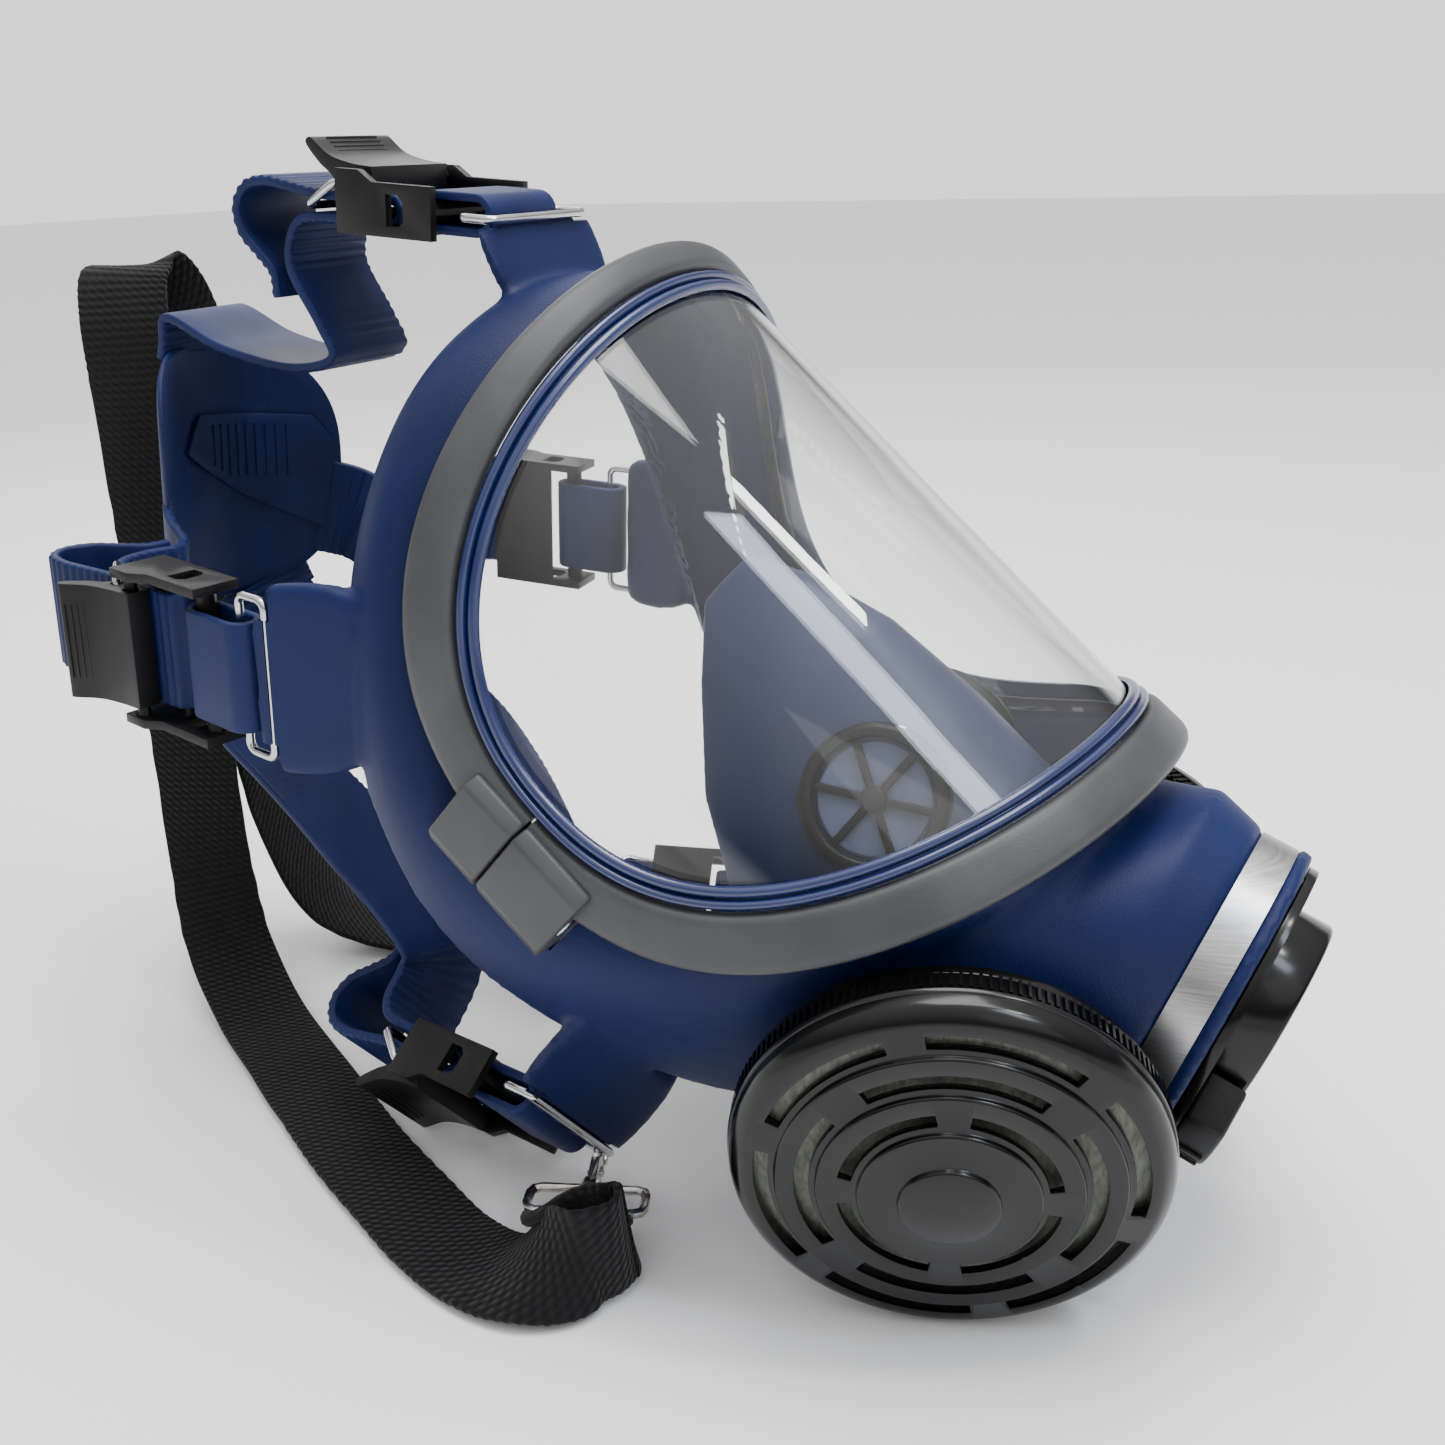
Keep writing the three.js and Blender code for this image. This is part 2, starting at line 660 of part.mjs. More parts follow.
function blankShape() {
  const shell = loft(turn.map(blankSection), true);
  const inlets = sides.map(([, side]) => rod(27.5, -36, -27.6, 16).applyMatrix4(filterFrame(side).matrix));
  const whole = join(shell, neckShape(0, 3.2), ...inlets, ...tabs);
  const inletBores = sides.flatMap(([, side]) => [rod(23.5, -52, -18, 16), rod(26.4, -27.6, -18, 16)]
    .map((bore) => bore.applyMatrix4(filterFrame(side).matrix)));
  const bossRoom = sides.map(([, side]) => boss(side, -20, 15, 0.35));
  return cut(whole, neckShape(wall + 2, 9), ...inletBores, ...bossRoom, ...bores);
}

place("face_blank", blankShape(), blueRubber);

// ---- Connector housing and its clamp band ----

const housingFrame = new THREE.Object3D();
housingFrame.matrix.makeBasis(vec(1, 0, 0), neckBack.clone().negate(), neckAxis).setPosition(neckCentre);
housingFrame.matrix.decompose(housingFrame.position, housingFrame.quaternion, housingFrame.scale);
mask.add(housingFrame);

function ovalShape(halfWidth, halfDepth) {
  const oval = new THREE.EllipseCurve(0, 0, halfWidth, halfDepth, 0, Math.PI * 2);
  return new THREE.Shape(oval.getPoints(24).slice(0, 24));
}

function ovalPlate(halfWidth, halfDepth, z0, z1) {
  const outline = ovalShape(halfWidth, halfDepth);
  const geometry = new THREE.ExtrudeGeometry(outline, { depth: z1 - z0, bevelEnabled: false });
  return geometry.translate(0, 0, z0);
}

const grip = join(
  cut(
    join(ovalPlate(28.6, 32.6, -12, 4), ovalPlate(31.5, 35.5, 3.6, 5.6)),
    ovalPlate(25.4, 29.4, -13, 2.4),
  ),
  rod(tubeRadius, 2.6, tubeLength, 28).translate(0, 4, 0),
);
const bore = rod(18.6, -14, tubeLength + 2, 24).translate(0, 4, 0);
place("front_housing", cut(grip, bore), blackPlastic, housingFrame);

const band = cut(ovalPlate(33.5, 37.5, -bandWidth, 0), ovalPlate(32.4, 36.4, -bandWidth - 1, 1));
const bandScrew = block(-7, 7, -41.5, -36.8, -7.4, -0.8);
place("housing_clamp_band", join(band, bandScrew), steel, housingFrame);

// Exhalation cover: the lower part of the housing, behind the tube.
const coverEdge = [];
for (let i = 0; i <= 12; i += 1) {
  const angle = Math.PI + (Math.PI * (i + 1.6)) / 15.2;
  coverEdge.push(new THREE.Vector2(30.5 * Math.cos(angle), 34.5 * Math.sin(angle)));
}
for (let i = 8; i >= 0; i -= 1) {
  const angle = Math.PI + (Math.PI * (i + 0.9)) / 9.8;
  coverEdge.push(new THREE.Vector2(23 * Math.cos(angle), 4 + 23 * Math.sin(angle)));
}
const ventCover = new THREE.ExtrudeGeometry(new THREE.Shape(coverEdge), { depth: 8.6, bevelEnabled: false });
place("exhalation_cover", ventCover.translate(0, 0, 5.95), satinBlack, housingFrame);

// ---- Nose cup ----

const cupSides = 20;

function cupRing(height, halfWidth, front, middle, back) {
  return Array.from({ length: cupSides }, (_, i) => {
    const angle = (i / cupSides) * Math.PI * 2;
    const s = Math.sin(angle);
    return vec(halfWidth * Math.cos(angle), middle + (s < 0 ? (middle - front) * s : back * s), height);
  });
}

const cupRows = [
  [18, 6, -38, -25], [4, 15, -46, -14], [-16, 25, -52, 0], [-42, 34, -54, 10], [-68, 35, -54, 5],
];
const cupOuter = loft([
  ...cupRows.map(([z, w, front, middle]) => cupRing(z, w, front, middle, 2.4)),
  cupRing(-88, 30, -53, -2, 9),
  ovalRing(neckCentre.clone().addScaledVector(neckAxis, -12.6), 26, 29.5, neckBack, cupSides),
]);
const cupInner = loft([
  ...cupRows.map(([z, w, front, middle], i) => cupRing(z - (i ? 0 : 3), w - 2.2, front + 2.2, middle, 16)),
  cupRing(-88, 27.8, -50.8, -2, 6.8),
  ovalRing(neckCentre.clone().addScaledVector(neckAxis, -11), 23.6, 27.2, neckBack, cupSides),
]);

function valveFrame(side) {
  const frame = new THREE.Object3D();
  frame.position.set(25.4 * side, -33.4, -43.5);
  frame.quaternion.setFromUnitVectors(vec(0, 0, 1), vec(0.9 * side, -0.43, 0.06).normalize());
  frame.updateMatrix();
  return frame;
}

const valveHoles = sides.map(([, side]) => rod(17.1, -9, 14, 18).applyMatrix4(valveFrame(side).matrix));
const inletRoom = sides.map(([, side]) => rod(28, -40, -20, 16).applyMatrix4(filterFrame(side).matrix));
place("nose_cup", cut(cupOuter, cupInner, ...valveHoles, ...inletRoom), blueRubber);

const seatRing = turned([[13.2, -1.6], [16.6, -1.6], [16.6, 1.4], [15.6, 2.6], [13.8, 2.6], [13.2, 1.6]], 18);
const spokeTurns = [0, Math.PI / 3, (Math.PI * 2) / 3];
const spokes = spokeTurns.map((angle) => block(-13.6, 13.6, -1, 1, -0.4, 1.2).rotateZ(angle));
const seat = join(seatRing, rod(3, -0.4, 2, 12), ...spokes);
const flap = rod(12.8, -1.5, -0.7, 18);
for (const [word, side] of sides) {
  const frame = valveFrame(side);
  mask.add(frame);
  place(`nose_cup_valve_seat_${word}`, seat.clone(), satinBlack, frame);
  place(`inhalation_flap_${word}`, flap.clone(), flapRubber, frame);
}

// ---- Head harness ----

const plateCentre = vec(0, 71.7, 153.4);
const plateDown = vec(0, 0.82, -0.572).normalize();
const plateOut = vec(0, 0.572, 0.82).normalize();

function plateSpot(x, down, out) {
  return plateCentre.clone()
    .add(vec(x, 0, 0))
    .addScaledVector(plateDown, down)
    .addScaledVector(plateOut, out - 0.0185 * x * x);
}

function plateShape() {
  const steps = 24;
  const shares = [0.4, 0.75, 1];
  const skin = (out) => shares.map((share) => Array.from({ length: steps }, (_, i) => {
    const angle = (i / steps) * Math.PI * 2;
    const c = Math.cos(angle);
    const s = Math.sin(angle);
    const x = 33 * share * Math.sign(c) * Math.abs(c) ** 0.7;
    return plateSpot(x, 37 * share * Math.sign(s) * Math.abs(s) ** 0.7, out);
  }));
  return loft([...skin(1.25), ...skin(-1.25).reverse()]);
}

place("head_plate", plateShape(), blueRubber);

// The tail end of each strap: round the bar in the buckle, out through the ring and looped back.
function strapInBuckle(frame) {
  const tail = [
    [70.6, -24], [71.5, -18], [76, -13.5], [81, -9], [82.4, -3], [79, 2], [73, 3.6], [66, 3],
    [57, 1.8], [46, 1.7], [35, 1.7], [33, 1.8], [31, 1], [30.2, -0.9], [31, -2.8], [33, -3.6],
    [36, -3.5], [46, -3.5], [56, -3.5], [62, -4.8], [65.2, -9], [66, -16],
  ];
  const wide = vec(0, 1, 0).applyQuaternion(frame.quaternion);
  return tail.map(([x, z]) => ({ at: vec(x, 0, z).applyMatrix4(frame.matrix), wide: wide.clone() }));
}

// The way on from each ring to the head plate: where the strap passes and how it is turned.
const strapRoutes = {
  forehead: () => [
    [vec(0, -2, 136), vec(-1, 0, 0)],
    [vec(0, 1.5, 129), vec(-1, 0, 0)],
    [vec(0, 12, 136), vec(-1, 0, 0)],
    [vec(0, 26, 158), vec(-1, 0, 0)],
    [plateSpot(0, -45, -2.2), vec(-1, 0, 0)],
    [plateSpot(0, -37.8, -1.6), vec(-1, 0, 0)],
  ],
  temple: (side) => [
    [vec(44 * side, 65.2, 114.2), vec(0, -0.8 * side, 0.6 * side)],
    [vec(38.6 * side, 68.6, 118.6), vec(0, -0.81 * side, 0.58 * side)],
    [plateSpot(35.2 * side, 14.5, -0.4), vec(0, -0.82 * side, 0.57 * side)],
    [plateSpot(33.3 * side, 13.5, 0), vec(0, -0.82 * side, 0.57 * side)],
  ],
  cheek: (side) => [
    [vec(28.2 * side, 101.8, 3.6), vec(0.85, -0.23 * side, 0.47 * side)],
    [vec(26.1 * side, 96.6, 8), vec(0.97, 0.06 * side, 0.22 * side)],
    [vec(27.5 * side, 92, 24), vec(0.98, 0, 0.05 * side)],
    [vec(30 * side, 90, 40), vec(0.99, -0.05 * side, 0)],
    [vec(31 * side, 89, 56), vec(0.99, -0.1 * side, 0)],
    [vec(30.5 * side, 90.5, 70), vec(0.98, -0.15 * side, 0)],
    [vec(28.5 * side, 94, 85), vec(0.97, -0.2 * side, -0.05 * side)],
    [vec(24 * side, 98, 104), vec(0.95, -0.3 * side, -0.1 * side)],
    [plateSpot(19.4 * side, 44, -0.5), vec(0.92, -0.34 * side, -0.2 * side)],
    [plateSpot(17.4 * side, 39.4, 0), vec(0.9, -0.36 * side, -0.25 * side)],
  ],
};

for (const station of stations) {
  const kind = station.name.split("_")[0];
  const onward = strapRoutes[kind](station.side ?? 0).map(([at, wide]) => ({ at, wide: wide.normalize() }));
  const stops = [...strapInBuckle(station.frame), ...onward];
  place(`strap_${station.name}`, ribbon(stops, strapWidth, strapThickness, stops.length - 1), blueRubber);
}

// ---- Neck strap and its clasps, laid out in the table's frame ----

const table = new THREE.Group();
table.rotation.x = restPitch;
mask.add(table);

function onTable(point) {
  return point.clone().applyAxisAngle(vec(1, 0, 0), -restPitch);
}

const gateOutline = [
  [-0.6, 5], [4.6, 3.4], [8.2, 1.6], [8.2, 4.6], [12.4, 8.6], [11.2, 9.6], [6.6, 5.4], [-0.6, 6.6],
];

// Flat plate from an outline, its thickness centred on z = 0.
function slab(outline, thickness) {
  const shape = new THREE.Shape(outline.map(([x, y]) => new THREE.Vector2(x, y)));
  const geometry = new THREE.ExtrudeGeometry(shape, { depth: thickness, bevelEnabled: false });
  return geometry.translate(0, 0, -thickness / 2);
}

const claspEnds = [];
const claspScale = 0.74;
for (const [word, side] of sides) {
  const station = stations.find((s) => s.name === `cheek_${word}`);
  const lower = vec(barAlong / 2, -side * loopHalfWidth, 0);
  const hookAt = onTable(lower.applyMatrix4(station.frame.matrix));
  const away = vec(0.92 * side, -0.39, 0).normalize();
  const frame = new THREE.Object3D();
  frame.matrix.makeBasis(away, vec(0, 0, -1), away.clone().cross(vec(0, 0, -1)));
  frame.matrix.setPosition(hookAt.clone().addScaledVector(away, -0.8).add(vec(0, 0, -1.3)));
  frame.matrix.decompose(frame.position, frame.quaternion, frame.scale);
  frame.updateMatrix();
  table.add(frame);

  // hook: an open ring with a shank, its gap closed by the gate
  const hook = turned([[4.3, -1.5], [6.4, -1.5], [6.8, 0], [6.4, 1.5], [4.3, 1.5]], 16);
  const shank = slab([[5.2, -3.4], [9, -4], [17, -1.9], [17, 1.9], [9, 4], [5.2, 3.4]], 3);
  const gap = block(-1, 5.4, 2.2, 9, -3, 3);
  const pocket = block(4.9, 8.6, 1.2, 6, -3, 3);
  const pin = rod(1, -2.4, 2.4, 8).translate(12, 0, 0);
  const body = join(cut(join(hook, shank), gap, pocket), pin);
  place(`clasp_body_${word}`, body.scale(claspScale, claspScale, claspScale), nickel, frame);
  const gate = slab(gateOutline, 2);
  place(`clasp_gate_${word}`, gate.scale(claspScale, claspScale, claspScale), nickel, frame);

  // swivel: a collar on the shank's end and the eye that holds the webbing
  const collar = rod(2.4, 12.9, 15.4, 10).rotateY(Math.PI / 2);
  const eye = wireLoop(roundedPath(vec(19.4, 0, 0), vec(0, 0, 1), vec(1, 0, 0), 14, 4.4, 2.4), 1.2);
  place(`clasp_swivel_${word}`, join(collar, eye), nickel, frame);
  claspEnds.push({
    start: vec(26.4, 0, 0).applyMatrix4(frame.matrix),
    next: vec(31, -3.4, -0.4).applyMatrix4(frame.matrix),
    away,
  });
}

// Stops along the webbing: x, y and height above the table, and the direction of its width.
const endSpots = [
  [[74.5, -16, 14.2], [-0.1, -0.1, -1]],
  [[80.5, -18, 14.4], [0, 0, -1]],
  [[86, -14, 14], [0.1, 0.1, -1]],
  [[89.5, -3, 10], [0.7, 0.1, -0.7]],
  [[89, 11, 3.8], [0.98, 0.1, -0.1]],
  [[84.5, 28, 2.2], [0.96, 0.25, 0]],
  [[76, 48, 2.2], [0.92, 0.38, 0]],
  [[66, 70, 2.2], [0.88, 0.47, 0]],
  [[56, 89, 2.2], [0.87, 0.49, 0]],
];
const nearSpots = endSpots.map(([[x, y, up], [a, b, c]]) => [[-x, y, up], [a, -b, -c]]);
const overSpots = [
  [[-42, 115, 2.4], [0.87, -0.5, 0]],
  [[-27, 143, 4], [0.85, -0.53, 0]],
  [[-13, 168, 16], [0.7, -0.72, 0]],
  [[-5, 179.5, 38], [0.49, -0.87, 0]],
  [[-4, 180.5, 72], [0.49, -0.87, 0]],
  [[-4, 180.5, 112], [0.49, -0.87, 0]],
  [[-4, 181, 152], [0.49, -0.87, 0]],
  [[-4, 181.5, 184], [0.49, -0.87, 0]],
  [[-3, 182.5, 201], [0.49, -0.87, 0]],
  [[1.5, 185, 211.5], [0.49, -0.87, 0]],
  [[9, 187, 212.5], [0.55, -0.83, 0]],
  [[15, 185, 204], [0.8, -0.6, 0]],
  [[18, 181, 186], [0.96, -0.27, 0]],
  [[18, 178, 160], [1, 0, 0]],
  [[18, 177, 120], [1, 0, 0]],
  [[18, 175, 80], [1, 0, 0]],
  [[19, 170, 42], [1, 0.1, 0]],
  [[22, 158, 14], [0.95, 0.3, 0]],
  [[31, 137, 3.6], [0.87, 0.49, 0]],
  [[43, 113, 2.4], [0.87, 0.49, 0]],
];
const farSpots = endSpots.slice().reverse();
const [nearEnd, farEnd] = claspEnds;
const strapStops = [
  { at: nearEnd.start.clone(), wide: vec(nearEnd.away.y, -nearEnd.away.x, 0) },
  { at: nearEnd.next.clone(), wide: vec(nearEnd.away.y, -nearEnd.away.x, 0) },
  ...[...nearSpots, ...overSpots, ...farSpots].map(([[x, y, up], wide]) => ({
    at: vec(x, y, floorLevel + up),
    wide: vec(...wide).normalize(),
  })),
  { at: farEnd.next.clone(), wide: vec(farEnd.away.y, -farEnd.away.x, 0) },
  { at: farEnd.start.clone(), wide: vec(farEnd.away.y, -farEnd.away.x, 0) },
];
const webbingSteps = (strapStops.length - 1) * 2;
place("neck_strap", ribbon(strapStops, webbingWidth, webbingThickness, webbingSteps), webbing, table);

// ---- Resting pose ----
mask.rotation.x = -restPitch;
mask.position.set(0, -10.2, restHeight);

export default model;
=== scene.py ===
import math

import bmesh
import bpy
from mathutils import Matrix, Vector


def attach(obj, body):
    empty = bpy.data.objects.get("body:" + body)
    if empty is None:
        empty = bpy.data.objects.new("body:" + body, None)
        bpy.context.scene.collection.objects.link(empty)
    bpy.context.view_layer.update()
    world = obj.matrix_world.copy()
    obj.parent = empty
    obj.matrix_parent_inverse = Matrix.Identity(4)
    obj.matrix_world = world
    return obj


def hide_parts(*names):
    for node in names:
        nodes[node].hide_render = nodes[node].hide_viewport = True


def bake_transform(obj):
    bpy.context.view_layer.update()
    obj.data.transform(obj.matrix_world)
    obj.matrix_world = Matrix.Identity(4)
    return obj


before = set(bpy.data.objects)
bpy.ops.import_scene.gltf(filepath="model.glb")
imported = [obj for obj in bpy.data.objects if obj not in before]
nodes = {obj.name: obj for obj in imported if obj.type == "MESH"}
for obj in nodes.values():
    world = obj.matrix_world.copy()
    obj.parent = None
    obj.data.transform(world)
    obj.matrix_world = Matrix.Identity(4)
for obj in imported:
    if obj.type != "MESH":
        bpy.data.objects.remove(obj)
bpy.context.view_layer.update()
print("frame loaded:", len(nodes), "nodes")

# Lengths are in millimetres in the mask's own frame: +X its left, -Y forwards, +Z up.
# toTable lays the mask on its filters and turns millimetres into metres.
rest = {"pitch": 48.6, "back": -10.2, "height": 109.55}
toTable = Matrix.Scale(0.001, 4) @ Matrix.Translation((0, rest["back"], rest["height"]))
toTable = toTable @ Matrix.Rotation(-math.radians(rest["pitch"]), 4, "X")
sides = (("right", -1), ("left", 1))
stationNames = ("forehead", "temple_right", "temple_left", "cheek_right", "cheek_left")


camera = {"place": (-0.3159, -0.1934, 0.2406), "right": (0.4855, -0.8737, -0.0303),
          "up": (0.3146, 0.1424, 0.9384), "back": (-0.8157, -0.4651, 0.3440), "lens": 39.37}
# heights up the sky and how bright it is there: a pale backdrop, a dim band, bright overhead
sky = ((0, 0.8), (0.1, 0.8), (0.18, 0.06), (1, 1))
studio = {"key": 11.0, "fill": 0.8, "rim": 3.0, "strip": 3.2, "spot": 2.4, "zenith": 1.8,
          "floor": (0.98, 0.98, 0.98, 1)}


def addCamera():
    data = bpy.data.cameras.new("camera")
    data.lens = camera["lens"]
    data.sensor_width = 36
    data.clip_start = 0.01
    obj = bpy.data.objects.new("camera", data)
    bpy.context.scene.collection.objects.link(obj)
    axes = [Vector(camera[key]).normalized() for key in ("right", "up", "back")]
    turn = Matrix(axes).transposed().to_4x4()
    obj.matrix_world = Matrix.Translation(camera["place"]) @ turn
    bpy.context.scene.camera = obj


def addLight(name, place, size, power, target=(0, 0, 0.1), color=(1, 1, 1)):
    data = bpy.data.lights.new(name, "AREA")
    data.shape = "RECTANGLE"
    data.size, data.size_y = size
    data.energy = power
    data.color = color
    obj = bpy.data.objects.new(name, data)
    bpy.context.scene.collection.objects.link(obj)
    aim = Vector(target) - Vector(place)
    obj.matrix_world = Matrix.Translation(place) @ aim.to_track_quat("-Z", "Y").to_matrix().to_4x4()


def addStudio():
    addLight("key", (0.1, -0.1, 1.2), (0.6, 0.6), studio["key"])
    addLight("front", (-0.55, -0.9, 0.75), (0.7, 0.5), studio["fill"])
    addLight("rim", (0.6, 0.7, 0.7), (0.6, 0.5), studio["rim"])
    onVisor = (-0.04, -0.066, 0.145)  # the two softboxes that the visor mirrors
    addLight("strip", (-0.16, -0.72, 1.02), (0.19, 0.36), studio["strip"], onVisor, (0.78, 0.86, 1.0))
    addLight("spot", (0.085, -0.62, 1.08), (0.07, 0.15), studio["spot"], onVisor)
    world = bpy.data.worlds.new("studio")
    world.use_nodes = True
    background = world.node_tree.nodes["Background"]
    background.inputs["Color"].default_value = (1, 1, 1, 1)
    direction = world.node_tree.nodes.new("ShaderNodeTexCoord")
    height = world.node_tree.nodes.new("ShaderNodeSeparateXYZ")
    ramp = world.node_tree.nodes.new("ShaderNodeValToRGB")
    for position, _ in sky[1:3]:
        ramp.color_ramp.elements.new(position)
    for element, (position, bright) in zip(ramp.color_ramp.elements, sky):
        element.position = position
        element.color = (bright, bright, bright, 1)
    power = world.node_tree.nodes.new("ShaderNodeMath")
    power.operation = "MULTIPLY"
    power.inputs[1].default_value = studio["zenith"]
    world.node_tree.links.new(direction.outputs["Generated"], height.inputs["Vector"])
    world.node_tree.links.new(height.outputs["Z"], ramp.inputs["Fac"])
    world.node_tree.links.new(ramp.outputs["Color"], power.inputs[0])
    world.node_tree.links.new(power.outputs["Value"], background.inputs["Strength"])
    bpy.context.scene.world = world
    mesh = bpy.data.meshes.new("floor")
    wide, low = 6, -0.0005
    corners = [(-wide, -wide, low), (wide, -wide, low), (wide, wide, low), (-wide, wide, low)]
    mesh.from_pydata(corners, [], [(0, 1, 2, 3)])
    floor = bpy.data.objects.new("floor", mesh)
    bpy.context.scene.collection.objects.link(floor)
    paint = bpy.data.materials.new("floor paint")
    paint.use_nodes = True
    paint.node_tree.nodes["Principled BSDF"].inputs["Base Color"].default_value = studio["floor"]
    paint.node_tree.nodes["Principled BSDF"].inputs["Roughness"].default_value = 0.9
    mesh.materials.append(paint)


addCamera()
addStudio()
print("camera and studio set")


def newFinish(name, **values):
    finish = bpy.data.materials.new(name)
    finish.use_nodes = True
    shader = finish.node_tree.nodes["Principled BSDF"]
    for socket, value in values.items():
        shader.inputs[socket.replace("_", " ")].default_value = value
    return finish


def plug(finish, output, socket):
    finish.node_tree.links.new(output, finish.node_tree.nodes["Principled BSDF"].inputs[socket])


def addNode(finish, kind, links=(), **values):
    node = finish.node_tree.nodes.new(kind)
    for name, value in values.items():
        if hasattr(node, name):
            setattr(node, name, value)
        else:
            node.inputs[name.replace("_", " ")].default_value = value
    for source, socket in links:
        finish.node_tree.links.new(source, node.inputs[socket])
    return node


def grain(finish, scale, detail=4, stretch=(1, 1, 1)):
    place = addNode(finish, "ShaderNodeTexCoord")
    spread = addNode(finish, "ShaderNodeMapping", [(place.outputs["Object"], "Vector")])
    spread.inputs["Scale"].default_value = stretch
    spot = [(spread.outputs["Vector"], "Vector")]
    return addNode(finish, "ShaderNodeTexNoise", spot, Scale=scale, Detail=detail)


def tint(finish, height, dark, light, low=0.3, high=0.7):
    ramp = addNode(finish, "ShaderNodeValToRGB", [(height, "Fac")])
    ramp.color_ramp.elements[0].position = low
    ramp.color_ramp.elements[0].color = (*dark, 1)
    ramp.color_ramp.elements[1].position = high
    ramp.color_ramp.elements[1].color = (*light, 1)
    plug(finish, ramp.outputs["Color"], "Base Color")


def gloss(finish, height, low, high):
    spread = addNode(finish, "ShaderNodeMapRange", [(height, "Value")])
    spread.inputs["To Min"].default_value = low
    spread.inputs["To Max"].default_value = high
    plug(finish, spread.outputs["Result"], "Roughness")


def relief(finish, height, depth, strength=1.0):
    bump = addNode(finish, "ShaderNodeBump", [(height, "Height")])
    bump.inputs["Distance"].default_value = depth
    bump.inputs["Strength"].default_value = strength
    plug(finish, bump.outputs["Normal"], "Normal")


def makeMouldedRubber():
    finish = newFinish("moulded blue rubber", Specular_IOR_Level=0.2, Sheen_Weight=0.02, Sheen_Roughness=0.5)
    finish.node_tree.nodes["Principled BSDF"].inputs["Sheen Tint"].default_value = (0.25, 0.35, 0.8, 1)
    cloud = grain(finish, 14, 5)
    tint(finish, cloud.outputs["Fac"], rubber["dark"], rubber["light"])
    gloss(finish, cloud.outputs["Fac"], rubber["sheenLow"], rubber["sheenHigh"])
    pores = grain(finish, 1900, 2)
    relief(finish, pores.outputs["Fac"], 0.00025, 0.35)
    return finish


rubber = {"dark": (0.003, 0.0075, 0.046), "light": (0.006, 0.0145, 0.082), "sheenLow": 0.44, "sheenHigh": 0.58}


def makeStrapRubber():
    finish = newFinish("strap rubber", Specular_IOR_Level=0.22, Sheen_Weight=0.03, Sheen_Roughness=0.45)
    finish.node_tree.nodes["Principled BSDF"].inputs["Sheen Tint"].default_value = (0.3, 0.4, 0.85, 1)
    cloud = grain(finish, 40, 5)
    tint(finish, cloud.outputs["Fac"], (0.0035, 0.0085, 0.050), (0.0075, 0.017, 0.090))
    gloss(finish, cloud.outputs["Fac"], 0.42, 0.6)
    pores = grain(finish, 2400, 3)
    relief(finish, pores.outputs["Fac"], 0.0003, 0.4)
    return finish


def makeGasketRubber():
    finish = newFinish("gasket rubber", Specular_IOR_Level=0.6, Coat_Weight=0.4, Coat_Roughness=0.15)
    cloud = grain(finish, 30, 3)
    tint(finish, cloud.outputs["Fac"], (0.006, 0.013, 0.070), (0.010, 0.022, 0.105))
    gloss(finish, cloud.outputs["Fac"], 0.2, 0.34)
    return finish


def makeCupRubber():
    finish = newFinish("nose cup rubber", Specular_IOR_Level=0.5)
    cloud = grain(finish, 25, 4)
    tint(finish, cloud.outputs["Fac"], (0.016, 0.028, 0.085), (0.026, 0.045, 0.13))
    gloss(finish, cloud.outputs["Fac"], 0.34, 0.5)
    return finish


def makeFramePlastic():
    finish = newFinish("grey frame plastic", Specular_IOR_Level=0.36)
    cloud = grain(finish, 50, 5)
    tint(finish, cloud.outputs["Fac"], (0.042, 0.043, 0.046), (0.060, 0.061, 0.065))
    gloss(finish, cloud.outputs["Fac"], 0.34, 0.48)
    pores = grain(finish, 2600, 2)
    relief(finish, pores.outputs["Fac"], 0.0002, 0.25)
    return finish


def makeGlossPlastic():
    finish = newFinish("glossy black plastic", Specular_IOR_Level=0.3, Coat_Weight=0.05, Coat_Roughness=0.08)
    cloud = grain(finish, 60, 6)
    tint(finish, cloud.outputs["Fac"], (0.0015, 0.0015, 0.0018), (0.0035, 0.0035, 0.004))
    gloss(finish, cloud.outputs["Fac"], 0.13, 0.24)
    scuffs = grain(finish, 500, 4, (1, 1, 0.12))
    relief(finish, scuffs.outputs["Fac"], 0.0001, 0.15)
    return finish


def makeSatinPlastic():
    finish = newFinish("satin black plastic", Specular_IOR_Level=0.3)
    cloud = grain(finish, 70, 5)
    tint(finish, cloud.outputs["Fac"], (0.003, 0.003, 0.0033), (0.007, 0.007, 0.0075))
    gloss(finish, cloud.outputs["Fac"], 0.34, 0.52)
    pores = grain(finish, 3000, 2)
    relief(finish, pores.outputs["Fac"], 0.0002, 0.35)
    return finish


def makeFelt():
    finish = newFinish("filter felt", Roughness=0.95, Sheen_Weight=0.4, Sheen_Roughness=0.7)
    fibres = grain(finish, 900, 8, (1, 1, 0.35))
    tint(finish, fibres.outputs["Fac"], (0.10, 0.115, 0.085), (0.26, 0.28, 0.22))
    relief(finish, fibres.outputs["Fac"], 0.0008, 0.8)
    return finish


def makeSteel():
    finish = newFinish("bright steel", Metallic=1.0)
    cloud = grain(finish, 120, 4)
    tint(finish, cloud.outputs["Fac"], (0.52, 0.52, 0.53), (0.68, 0.68, 0.69))
    gloss(finish, cloud.outputs["Fac"], 0.14, 0.26)
    return finish


def makeBrushedBand():
    finish = newFinish("brushed steel band", Metallic=1.0, Anisotropic=0.4)
    lines = grain(finish, 90, 3, (1, 1, 40))
    tint(finish, lines.outputs["Fac"], (0.42, 0.42, 0.43), (0.6, 0.6, 0.61))
    gloss(finish, lines.outputs["Fac"], 0.24, 0.4)
    relief(finish, lines.outputs["Fac"], 0.0001, 0.2)
    return finish


